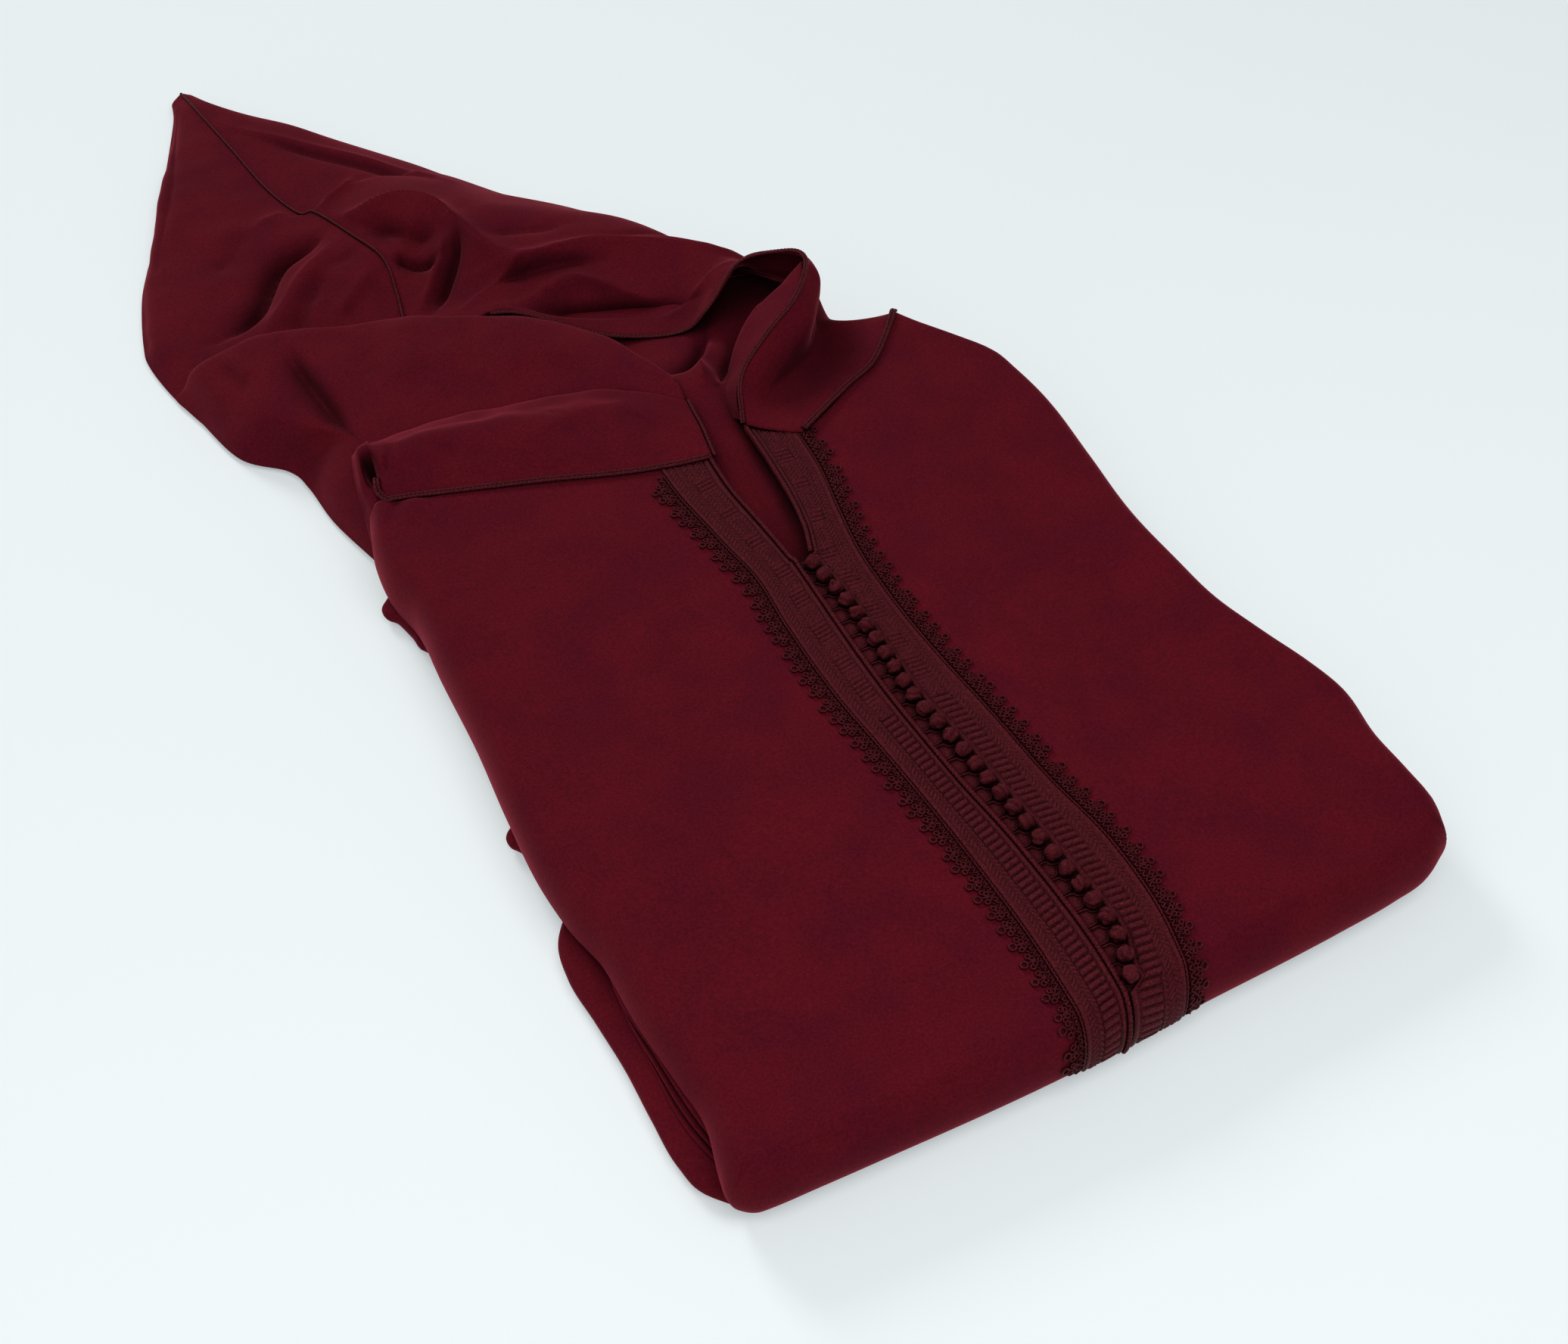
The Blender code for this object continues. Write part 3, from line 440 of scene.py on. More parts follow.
CLOTH_THREAD = 0.0007  # metres from thread to thread
BRAID_THREAD = 0.00055
WAVE_LENGTH = 0.314  # metres between a wave texture's bands at scale 1
HOLLOW_SPAN = 0.42  # of openness, from the deepest painted shade up to none
OPEN_FROM = 0.97  # the openness that has no painted shade


class Finish:
    """A procedural material in the making. Its methods add nodes and return their outputs."""

    def __init__(self, name, values):
        self.material = bpy.data.materials.new(name)
        self.material.use_nodes = True
        self.tree = self.material.node_tree
        self.shader = self.tree.nodes["Principled BSDF"]
        self.give(self.shader, values)

    def give(self, node, values):
        """Sets a node's inputs, each to a plain value or to another node's output."""
        for key, value in values.items():
            if isinstance(value, bpy.types.NodeSocket):
                self.tree.links.new(value, node.inputs[key])
            else:
                node.inputs[key].default_value = value

    def node(self, kind, values):
        """A new node of a kind, with its inputs given."""
        made = self.tree.nodes.new(f"ShaderNode{kind}")
        self.give(made, values)
        return made

    def place(self):
        """The object's own coordinates."""
        return self.node("TexCoord", {}).outputs["Object"]

    def noise(self, scale, detail, roughness=0.55):
        """A noise over the object."""
        values = {"Vector": self.place(), "Scale": scale, "Detail": detail, "Roughness": roughness}
        return self.node("TexNoise", values).outputs["Fac"]

    def weave(self, period, axis):
        """Threads of a given period, in metres, across one axis."""
        values = {"Vector": self.place(), "Scale": WAVE_LENGTH / period}
        made = self.node("TexWave", {**values, "Distortion": 1.2, "Detail": 2.0, "Detail Scale": 1.5})
        made.wave_type = "BANDS"
        made.bands_direction = axis
        return made.outputs["Fac"]

    def ramp(self, value, *stops):
        """A colour ramp over a value, from (place, colour) stops."""
        made = self.node("ValToRGB", {"Fac": value})
        elements = made.color_ramp.elements
        while len(elements) < len(stops):
            elements.new(0.5)
        for element, (place, colour) in zip(elements, stops):
            element.position = place
            element.color = (*colour, 1)
        return made.outputs["Color"]

    def times(self, a, b):
        """One colour multiplied by another."""
        made = self.node("Mix", {})
        made.data_type = "RGBA"
        made.blend_type = "MULTIPLY"
        self.give(made, {0: 1.0, 6: a, 7: b})
        return made.outputs[2]

    def painted_shade_in_hollows(self, reach, deepest, own=True, open_from=OPEN_FROM):
        """Painted shade that darkens sunken places up to reach metres wide: a piece's own, or those between
        pieces too.
        """
        found = self.node("AmbientOcclusion", {"Distance": reach})
        found.only_local = own
        found.samples = 6
        deep, open_air = (open_from - HOLLOW_SPAN, (deepest,) * 3), (open_from, (1, 1, 1))
        return self.ramp(found.outputs["AO"], deep, open_air)

    def colour(self, value):
        """Sets the base colour."""
        self.give(self.shader, {"Base Color": value})

    def bumps(self, *heights):
        """Bumps from (value, strength, distance in metres), each on the last."""
        normal = {}
        for value, strength, distance in heights:
            made = self.node("Bump", {"Strength": strength, "Distance": distance, "Height": value, **normal})
            normal = {"Normal": made.outputs["Normal"]}
        self.give(self.shader, normal)


# How deep the painted shade is in the cloth's sunken places: in general, and inside the collar and the neck
CLOTH_PAINTED_SHADE = {"reach": 0.035, "open_from": 0.985}
INSIDE_PAINTED_SHADE = {
    "collar_facing": {"reach": 0.06, "own": False, "open_from": 0.92},
    "back_neck": {"reach": 0.045, "own": False, "open_from": 0.82},
}
CLOTH_SHADER = {
    "Roughness": 0.9,
    "Specular IOR Level": 0.035,
    "Sheen Weight": 0.32,
    "Sheen Roughness": 0.32,
    "Sheen Tint": (0.9, 0.11, 0.17, 1),
}
BRAID_SHADER = {"Specular IOR Level": 0.05, "Specular Tint": (1.0, 0.35, 0.36, 1)}
FLOOR_SHADER = {
    "Roughness": 0.8,
    "Specular IOR Level": 0.2,
    "Emission Color": (0.90, 0.97, 1.0, 1),
    "Emission Strength": 0.34,
}


def burgundy_cloth(name, hollow_shade):
    """Soft matte burgundy cloth with a fine weave and a slight nap, darkened by painted shade in its sunken
    places.
    """
    made = Finish(name, CLOTH_SHADER)
    dark, light = (0.081, 0.0039, 0.0106), (0.103, 0.0048, 0.0103)
    broad = made.ramp(made.noise(scale=26, detail=4), (0.35, dark), (0.65, light))
    grain = made.noise(scale=700, detail=4, roughness=0.7)
    fine = made.ramp(grain, (0.3, (0.62, 0.62, 0.66)), (0.7, (1.15, 1.15, 1.15)))
    # painted shade: the colour is darkened where the cloth lies in creases and recesses
    made.colour(made.times(made.times(broad, fine), made.painted_shade_in_hollows(deepest=0.12, **hollow_shade)))
    across, along = made.weave(CLOTH_THREAD, "X"), made.weave(CLOTH_THREAD, "Y")
    nap = made.noise(scale=1400, detail=5, roughness=0.7)
    made.bumps((across, 0.25, 0.0001), (along, 0.25, 0.0001), (nap, 0.35, 0.00025))
    return made.material


def braid_thread():
    """Darker satin thread, stitched close, with painted glints and painted shade in its gaps."""
    made = Finish("braid_thread_satin", BRAID_SHADER)
    dark, light, painted_glint = (0.026, 0.0042, 0.0062), (0.115, 0.0132, 0.0182), (0.27, 0.055, 0.065)
    stitches = made.noise(scale=1100, detail=4, roughness=0.75)
    # the last stop paints small bright glints: painted highlights
    tone_and_painted_glints = made.ramp(stitches, (0.35, dark), (0.66, light), (0.74, painted_glint))
    # painted shade: the thread is darkened in the braid's gaps and beside the pieces next to it
    made.colour(made.times(tone_and_painted_glints, made.painted_shade_in_hollows(reach=0.005, deepest=0.10, own=False)))
    gloss = made.ramp(made.noise(scale=1500, detail=2), (0.4, (0.62,) * 3), (0.7, (0.36,) * 3))
    made.give(made.shader, {"Roughness": gloss})
    twist, lumps = made.weave(BRAID_THREAD, "DIAGONAL"), made.noise(scale=1300, detail=3)
    made.bumps((twist, 0.5, 0.0002), (lumps, 0.5, 0.0003))
    return made.material


def floor_finish():
    """A pale, even floor with a faint glow of its own."""
    made = Finish("pale_floor", FLOOR_SHADER)
    patches = made.noise(scale=1.2, detail=2)
    made.colour(made.ramp(patches, (0.3, (0.56, 0.585, 0.585)), (0.7, (0.57, 0.60, 0.595))))
    return made.material


# ---------------------------------------------------------------- the folded body

# Outline of the pack at its widest height
LEFT = table("""
    y     x
    -8   -6
    13   -2
    38    3
    61    1
   103   -3
   139   -4
   168   -9
   200  -12
   246  -11
   296   -8
   355   -7
   396   -6
   427  -11
   448  -10
   475   -4
   507   -4
""")
RIGHT = table("""
    y     x
    21  399
    37  405
    60  406
    88  406
   118  410
   148  405
   174  397
   203  389
   238  386
   271  384
   300  385
   335  388
   374  391
   418  389
   438  386
   466  371
   490  357
   507  348
""")
FRONT = table("""
     x     y
    -6    -8
    10  -9.8
    40   -10
   102  -9.5
   162    -8
   252    -1
   330     5
   365     9
   385    13
   399    21
""")

# Height of the upper face along the middle, and the soft trough that runs down the right half
CROWN = table("""
    y     z
   -10   44
   100   45
   300   46
   420   49
   507   50
""")
TROUGH = table("""
    y     x  depth
   140  322      0
   220  325    2.5
   300  329    4.0
   420  336    4.0
   507  340    2.0
""")
TROUGH_HALF_WIDTH = 24.0

# The slit down the front, which opens to a V above y = 322
SLIT = table("""
    y     x
   -12  198
     0  200
    60  202
    96  200
   144  195
   204  191
   322  191
""")
V_LEFT = table("""
    y     x
   322  190
   345  188
   366  186
   386  184
   413  184
   440  186
   468  191
""")
V_RIGHT = table("""
    y     x
   322  199
   341  205
   358  208
   398  211
   443   212
""")
V_FOOT = 322.0


def opening(side, y):
    """The x of the slit's edge on one side, or of the V's above its foot."""
    mouth = V_LEFT if side == "left" else V_RIGHT
    return np.where(y > V_FOOT, x_at(mouth, y), x_at(SLIT, y))


# Where the front halves end under the yoke and under the hood's foot
YOKE_SEAM = table("""
     x     y
    -4   475
    12   464
    49   454
    93   441
   148   424
   184   419
""")
FOOT_SEAM = table("""
     x     y
   200   445
   213   435
   219 429.6
   225 425.5
   230 422.4
   236 418.6
   240 417.6
   250   422
   264   430
   289   446
   306   454
   326   477
   337   491
   348   507
""")

# How low the left half's edge hangs along the left side, above the folded skirt layers
LEFT_HEM = table("""
    y     z
    -6    4
     3  4.4
     9   11
    16 18.5
    24   21
   140   21
   175   13
   192   13
   210    5
   507    5
""")
FRONT_HEM = 4.0
FRONT_CORNER = (-6.0, -8.0)
CORNER_SIZE = 16.0  # along each edge, the stretch over which the corner is rounded
RIM_STEP = 9.0  # along the outline each way, to find its direction
FOLD_START = 5.0  # y where the front starts to turn over, beside the slit


OUTLINE_POINTS = 80  # on each of its three sides


def outline():
    """The pack's outline from the left shoulder round the front to the right shoulder."""
    down = np.linspace(LEFT["y"][-1], LEFT["y"][0], OUTLINE_POINTS)
    left = np.stack([x_at(LEFT, down), down], 1)
    across = np.linspace(FRONT["x"][0], FRONT["x"][-1], OUTLINE_POINTS)
    front = np.stack([across, y_at(FRONT, across)], 1)
    up = np.linspace(RIGHT["y"][0], RIGHT["y"][-1], OUTLINE_POINTS)
    right = np.stack([x_at(RIGHT, up), up], 1)
    return np.concatenate([left, front[1:], right[1:]])


OUTLINE = outline()
BODY_CREASES = creases_of("body")


def outline_distance(x, y):
    """Distance in plan from the pack's outline."""
    return np.linalg.norm(off_path(OUTLINE, x, y)[0], axis=-1).min(-1)


def full_height(x, y):
    """Height of the upper face before it is rounded off at the outline."""
    x, y = np.broadcast_arrays(np.asarray(x, float), np.asarray(y, float))
    depth = follow(TROUGH, "y", "depth", y)
    aside = (x - x_at(TROUGH, y)) / TROUGH_HALF_WIDTH
    level = follow(CROWN, "y", "z", y) - depth * np.exp(-(aside**2))
    uneven = ripple(np.stack([x, y, 0 * x], -1), seed=8, size=0.3, length=75.0)
    return level + crease_height(BODY_CREASES, x, y) + uneven


def top_point(x, y):
    """A point on the pack's upper face."""
    x, y = np.broadcast_arrays(np.asarray(x, float), np.asarray(y, float))
    inside = np.clip(outline_distance(x, y) / PACK_ROLL, 0, 1)
    rounding = np.sqrt(1 - (1 - inside) ** 2)
    return np.stack([x, y, PACK_MID + (full_height(x, y) - PACK_MID) * rounding], -1)


def front_place(x, up):
    """A point on the front, up mm from where it starts to turn over the fold, or below 0 round the fold."""
    x, up = np.broadcast_arrays(np.asarray(x, float), np.asarray(up, float))
    turn = np.clip(-up / FOLD_RADIUS, 0, UNDER_TURN)
    y = y_at(FRONT, x) + PACK_ROLL * (1 - np.sin(turn)) + np.maximum(up, 0)
    return np.stack([x, y, PACK_MID + (full_height(x, y) - PACK_MID) * np.cos(turn)], -1)


NORMAL_STEP = 1.5


def front_normal(x, up):
    """The front's outward direction at a place of front_place."""
    up = np.asarray(up)
    across = front_place(x + NORMAL_STEP, up) - front_place(x - NORMAL_STEP, up)
    upward = front_place(x, up + NORMAL_STEP) - front_place(x, up - NORMAL_STEP)
    return unit(np.cross(across, upward))


def over_front(x, up, lift):
    """Points over the front, lift mm clear of it."""
    return front_place(x, up) + front_normal(x, up) * np.asarray(lift)[..., None]


def table_y(up):
    """The y by which the front's tables are read, at a place of front_place."""
    turn = np.clip(-np.asarray(up, float) / FOLD_RADIUS, 0, UNDER_TURN)
    return FOLD_START + np.maximum(up, 0) - PACK_ROLL * np.sin(turn)


def from_the_edge(flat_parts):
    """Steps inward from the pack's outline: mm over the rounded edge, then shares of the flat stretch."""
    rounded = PACK_ROLL * (1 - np.sin(FOLD_TURNS[::-1]))
    mm = np.append(rounded, np.full(flat_parts + 1, PACK_ROLL))
    return mm, np.append(np.zeros(len(rounded)), np.linspace(0, 1, flat_parts + 1))


def step_in(start, end, steps):
    """Places from start, on the outline, towards end."""
    mm, share = steps
    toward = np.sign(end - start)
    return start + toward * mm + share * (end - start - toward * PACK_ROLL)


def front_face(side, flat_rows, flat_columns):
    """The upper face of one half of the front: a grid of points from the side to the slit."""
    left = side == "left"
    seam, reach = (YOKE_SEAM, LEFT) if left else (FOOT_SEAM, RIGHT)
    clear = -GAP if left else GAP
    rows = [steps[:, None] for steps in from_the_edge(flat_rows)]
    columns = from_the_edge(flat_columns)
    x = np.full((len(rows[0]), len(columns[0])), reach["x"].mean())
    for _ in range(8):  # x and y lean on each other, and settle
        y = step_in(y_at(FRONT, x), y_at(seam, x) - GAP, rows)
        x = step_in(x_at(reach, y), clear + opening(side, y), columns)
    points = top_point(x, y)
    points[:, 0, 2] = points[0, :, 2] = PACK_MID
    if left:
        reached = np.clip(1 - (points[..., :2] - FRONT_CORNER) / CORNER_SIZE, 0, 1)
        points[..., :2] += CORNER_SIZE * reached * (1 - np.sqrt(1 - reached[..., ::-1] ** 2 / 2))
    return points


def front_half(side, points, under_rows):
    """Outer surface of one half of the front: its upper face, and a skirt that turns under."""
    left = side == "left"
    along, across = points.shape[:2]
    verts = points.reshape(-1, 3)
    quads = grid_quads(along, across, flip=not left)
    path = np.array([i * across for i in range(along - 1, 0, -1)] + list(range(across)))
    rim = verts[path]
    gone = gone_along(rim)
    run = places_at(rim[:, :2], gone, gone + RIM_STEP) - places_at(rim[:, :2], gone, gone - RIM_STEP)
    inward = unit(np.stack([run[:, 1], -run[:, 0]], 1) * (-1 if left else 1))
    hem = np.full(len(rim), FRONT_HEM)
    if left:
        hem[: along - 1] = np.interp(rim[: along - 1, 1], LEFT_HEM["y"], LEFT_HEM["z"])
    rise = full_height(rim[:, 0], rim[:, 1]) - PACK_MID
    last_turn = np.arccos(np.clip((hem - PACK_MID) / rise, -1, 1))
    previous, faces = path, [quads]
    for k in range(1, under_rows + 1):
        turn = np.pi / 2 + (last_turn - np.pi / 2) * k / under_rows
        row = np.empty_like(rim)
        row[:, :2] = rim[:, :2] + inward * (PACK_ROLL * (1 - np.sin(turn)))[:, None]
        row[:, 2] = PACK_MID + rise * np.cos(turn)
        current = len(verts) + np.arange(len(rim))
        verts = np.concatenate([verts, row])
        skirt = np.stack([previous[:-1], current[:-1], current[1:], previous[1:]], 1)
        faces.append(skirt if left else skirt[:, ::-1])
        previous = current
    return verts, np.concatenate(faces)


# ---------------------------------------------------------------- the hood, the yoke and the neck

# The hood's left half by its crown seam: the seam, and a section beside each of its points
CROWN_SEAM = """
    seam
    29,993,8
    32,953,14
    39,895,16
    47,838,15
    57,799,17
    66,791,20
    78,752,24
    88,716,25
    86,686,18
    80,655,13
"""

CROWN_LEFT = """
    fold       side        belly       near
    20,984,3   20,986,5    22,988,6.5  25,990,7.5
    13,960,3   16,958,8    20,955,11   26,954,13
    -15,885,3  -9,888,11   8,893,15    24,896,17
    -38,824,3  -29,829,12  -6,838,17   22,842,18
    -49,799,3  -39,803,12  -11,812,17  22,815,18
    -60,770,3  -49,773,12  -19,783,17  21,788,19
    -71,725,3  -60,727,13  -28,738,16  22,750,18
    -73,699,3  -62,700,13  -32,702,15  20,712,19
    -64,652,3  -55,657,10  -30,664,14  22,676,17
    -44,588,3  -36,588,6   -18,592,7   20,602,8
"""

# The long roll on the left, in sections from the shoulder's hem over the roll to where it tucks in
LEFT_SIDE = """
    hem         skirt       fold            valley        rise        top         brow        tuck
    -3,466,3    -15,512,3   -19,548,3       -25,568,3     -48,592,3   -60,638,3   -67,662,3   -66,674,2
    0,466,15    -10,512,17  -13,548,15      -19,566,14    -43,592,15  -54,634,15  -61,660,11  -60,670,5
    5,470,26    -2,512,29   -3,546,28       -7,558,28     -30,586,29  -43,628,30  -52,659,24  -51,668,13
    14,474,32   7,512,34    7,532,35        9,543,37      -12,575,38  -21,616,40  -30,652,38  -30,657,30
    34,506,30   30,515,34   30,524,38       29,532,41     15,566,43   6,604,47    -5,648,44   -4,650,30
    60,508,32   60,516,36   60,523,40       60,528,44     50,556,47   44,588,52   42,627,50   44,626,33
    101,503,33  101,511,38  101,517,42      101,521,45    92,543,49   86,570,55   90,608,53   94,606,36
    136,496,37  136,503,42  136,509,46      136,512,48    131,531,51  130,553,56  140,578,54  146,576,37
    158,488,40  158,494,45  158,498,48.5    159,501,51    159,516,54  162,532,57  170,545,54  177,544,38
    172,475,43  172,480,47  173,484,50.5    174,487,53    177,497,55  179,507,57  184,514,54  191,514,39
    187,462,44  188,465,48  189,468.5,50.5  190,471.4,53  191,479,54  191,487,55  192,494,53  197,496,43
"""

# The rolled cloth on the left shoulder seam, from its open end inward
YOKE = """
    seam         front        crest        back          valley          under
    -6,466,22    -5,476,30    -4,488,44    -1,503,52     3,514,47        6,518,38
    0,468,41     -0.5,478,46  0,488,54     3,503,59.5    9,517,48        11,520,40
    5,470,44     6,480,50     7.5,489,43   8.5,502,60.5  13,519,47       15,522,39
    11,467,48    12.5,478,55  13,490,62.5  14.5,504,59   19,523,44       21,526,36
    49,455,49.5  49,472,57    49,492,64    51,508,55     60,525.5,44     60,526,36
    93,442,50    94,460,58    96,482,64    98,501,55     101,518.5,45    101,519,37
    130,430,50   132,450,57   136,473,61   138,492,55    141,507.3,49    141,507,41
    160,423,50   163,442,54   165,462,57   167,477,55    168,490.5,52    168,490,45
    184,420,50   186,433,51   188,446,52   189,459,52.5  190,469.2,52.5  190,468,46
"""

# The hood's right half, from its tip along the crown seam and the open edge, and the collar down to its foot
HOOD_RIGHT = """
    edge          strip           lip             ridge         belly           hem
    29,993,8      31,993,8        33,992,7.5      36,990,7      39,987,5        41,983,3
    32,953,14     38,955,15       44,956,15       49,955,13     53,953,9        56,950,3
    39,895,16     53,899,19       69,902,20       87,901,17     99,897,10       104,893,3
    47,838,15     69,843,20       92,846,22       117,844,20    140,840,12      152,836,3
    57,799,17     77,807,21       101,812,24      128,811,23    158,806,15      174,797,3
    66,791,20     86,798,24       109,801,28      137,800,26    167,793,16      184,785,3
    78,752,24     99,762,34       122,768,35      152,768,30    188,760,18      207,750,3
    88,716,25     106,728,37      132,734,40      164,738,36    210,730,22      231,718,3
    86,686,18     100,696,24      126,708,35      160,714,42    220,708,28      250,694,3
    80,655,13     97,664,19       120,674,28      165,684,43    232,682,36      272,662,3
    97,622,27     110,640,27      132,652,28      182,662,43    246,652,40      288,634,3
    136,624,32    146,636,30      166,645,35      205,648,44    258,636,38      298,618,3
    184,577,30    194,592,30      206,606,36      236,630,45    276,612,42      310,594,3
    224,554,34    232,567,34      243,582,40      262,604,46    288,590,42      315,572,3
    242,547,53    252,559,55      264,571,55      280,578,50    298,566,34      318,554,3
    268,558,69.5  277,563,67      286,562,60      295,556,46    305,548,26      320,541,3
    291,540,80.5  299,541,75      304,538,64      307,533,50    314,528,28      328,525,3
    296,525,83.5  301,520,77      300,515,69      295,512,50    307,510,43.5    344,505,36
    289,510,83    295,507,76      294,503,68      290,500,49    303,497,43.5    340,496,46.8
    273,492,80.5  279,489,74      280,486,66      278,484,48.5  292,480,43.5    326,478,48.2
    250,479,74    256,475,68      259,472,60      260,469,49    273,463,45      304,455,49.3
    224,460,64.5  230,456,59      234,453,54      239,450,50.5  254,445,48.5    281,442,50.2
    213,434,53    219,428.6,52.6  225,424.4,52.3  230,421.4,52  235,418.4,51.6  240,416.8,51.2
"""

# The back's neck part inside the slit, from the V's foot upward
BACK_NECK = """
    left        lower       mid         upper       right       wall
    176,296,35  184,296,35  195,296,35  208,296,35  222,296,35  226,296,34
    172,350,37  182,350,38  194,350,38  208,350,38  224,350,37  228,350,36
    170,410,38  182,410,40  196,410,42  210,410,42  228,408,38  232,408,37
    172,450,40  184,448,44  198,446,46  212,444,46  232,440,40  236,440,38
    174,484,40  188,480,48  203,476,51  217,470,49  236,462,42  242,462,40
    178,505,36  190,499,46  206,492,50  226,484,47  256,473,44  264,474,48
    180,530,26  193,520,36  210,514,40  236,506,42  282,496,48  284,498,60
    172,566,22  188,556,26  214,546,32  246,536,38  292,520,50  290,522,64
    152,600,22  172,590,24  205,582,28  242,572,36  290,546,48  284,548,58
    132,632,18  160,624,22  196,618,26  236,602,32  282,580,40  272,580,46
"""

# The collar's facing, from its highest point down to the V
FACING = """
    rim             middle        foot
    292.5,524.5,82  283,525,73    272,524,62
    286.5,511.7,82  275,517,73    261,521,62
    271,494.5,79.5  260,503,70    247,511,58
    248.3,481.6,73  243,491,64    236,500,53.5
    221.7,462,63.5  223,473,57    224,484,49
    213.2,449,56.5  213,457,52    213,466,46.5
    212,439,52.5    211.5,445,49  211.5,452,45
"""

# Folded layers that peek out under the left front
SKIRT_LOWER = table("""
    y   out  low  high
     4    3  0.6   4.6
    17   -9  0.4  10.0
    32  -13  0.4  11.0
    60  -14  0.4  11.4
    90  -14  0.4  11.4
   120  -16  0.4  11.4
   150  -18  0.4  11.0
   172  -14  0.4   9.5
   188   -4  0.4   7.0
""")
SKIRT_LEAVES = [
    table("""
        y   out   low  high
        21    2  12.0  13.2
        40   -3  12.0  13.8
        75   -4  12.0  13.8
       100   -3  12.0  13.6
       124    2  12.2  13.2
    """),
    table("""
        y   out   low  high
        25    3  14.4  15.6
        44   -1  14.4  16.0
        75   -3  14.4  16.2
       120   -3  14.4  16.2
       142    2  14.6  15.6
    """),
    table("""
        y   out   low  high
        28    4  16.8  18.0
        50    1  16.8  18.4
        80   -1  16.8  18.6
       130   -3  16.8  18.6
       152    2  17.0  18.0
    """),
]
SKIRT_ROOT = 16.0  # x to which the leaves run in under the pack

# The sleeves' tips, in plan: a blunt nub and a sliver beside the edge
SLEEVE_TIPS = {
    "sleeve_tip_upper": "5,441 -7,437 -11,434 -15,429 -15,423 -12,419 -10,415 -7,402 -5,390 5,384",
    "sleeve_tip_lower": "5,253 -6,250 -10,248 -13,244 -13,239 -11,236 -9,232 -8,224 -6,217 5,213",
}
SLEEVE_TIP_MIDDLE = 6.0  # height of its widest outline
SLEEVE_TIP_HALF = 4.2  # half its thickness
SLEEVE_TIP_X = 2.0  # where its top and bottom shrink to
SLEEVE_TIP_SHRINK = 0.30

# Outer seam of each braid band down the front
BAND_SEAM_LEFT = table("""
    y     x
   -12  173
    13  175
    54  176
   110  174
   156  171
   189  168
   221  165
   281  164
   325  165
   348  161
   369  158
   400  154
   425  153
""")
BAND_SEAM_RIGHT = table("""
    y     x
   -12  229
     3  233
    29  238
    72  240
   120  234
   194  228
   223  225
   277  223
   310  224
   345  229
   380  235
   418  237
""")
BUTTONS = table("""
    y     x
     9  205
    30  212
    52  212
    93  209
   128  206
   167  203
   204  199
   240  200
   279  200
   316  196
""")
BORDER_PARTS = 12  # the creases fade over one such part of a panel at each border


def panel_surface(rows, along, across, flip, name, seed):
    """A panel's creased outer surface: its grid of points and its quads."""
    grid = loft(rows, along, across)
    verts = grid.reshape(-1, 3)
    quads = grid_quads(along, across, flip)
    normals = vertex_normals(verts, quads)
    height = crease_height(creases_of(name), verts[:, 0], verts[:, 1]) + ripple(verts, seed)
    inside = [np.minimum(np.arange(n), np.arange(n)[::-1]) / n * BORDER_PARTS for n in (along, across)]
    edge = np.minimum.outer(*inside).clip(0, 1).reshape(-1)
    verts = verts + normals * (height * edge)[:, None]
    return verts.reshape(along, across, 3), quads


def skirt_fold(columns, stations, sides):
    """Outer surface of a folded layer: an upper leaf, a rounded edge and a lower leaf."""
    y = np.linspace(columns["y"][0], columns["y"][-1], stations)
    out, low, high = (follow(columns, "y", name, y) for name in ("out", "low", "high"))
    half, mid = (high - low) / 2, (high + low) / 2
    turns = np.linspace(np.pi / 2, 3 * np.pi / 2, sides)
    ring = [np.stack([0 * y + SKIRT_ROOT, y, high], 1)]
    ring += [np.stack([out + half * (1 + np.cos(t)), y, mid + half * np.sin(t)], 1) for t in turns]
    ring += [np.stack([0 * y + SKIRT_ROOT, y, low], 1)]
    return np.stack(ring, 1)


def make_fronts(finish):
    """The two halves of the front."""
    for side in ("left", "right"):
        face = front_face(side, flat_rows=150, flat_columns=60)
        body = cloth_shell(*front_half(side, face, under_rows=8))
        add(f"cloth_front_{side}", *body, finish, "burgundy_cloth", f"front_{side}")


def make_panels(finish):
    """The panels of the hood, the yoke and the neck. Returns their grids of points by name."""
    seam = sections(CROWN_SEAM)
    crown = np.concatenate([sections(CROWN_LEFT), seam - (CROWN_GAP, 0, 0)], 1)
    panels = {  # sections, points along and across, and whether the faces turn over
        "hood_crown_left": (crown, 150, 60, True),
        "hood_left_side": (sections(LEFT_SIDE), 150, 120, True),
        "yoke_left": (sections(YOKE), 180, 70, True),
        "hood_right": (sections(HOOD_RIGHT), 300, 90, True),
        "collar_facing": (sections(FACING), 70, 24, False),
        "back_neck": (sections(BACK_NECK), 150, 90, False),
    }
    grids = {}
    for seed, (name, (rows, along, across, flip)) in enumerate(panels.items(), 11):
        grids[name], quads = panel_surface(rows, along, across, flip, name, seed)
        body = cloth_shell(grids[name].reshape(-1, 3), quads)
        nodes = [name, "back_shoulder"] if name == "hood_left_side" else [name]
        # inside the collar and the neck the cloth gets a copy of its finish with deeper painted shade
        own = burgundy_cloth(f"burgundy_{name}", INSIDE_PAINTED_SHADE[name]) if name in INSIDE_PAINTED_SHADE else finish
        add(f"cloth_{name}", *body, own, "burgundy_cloth", *nodes)
    return grids


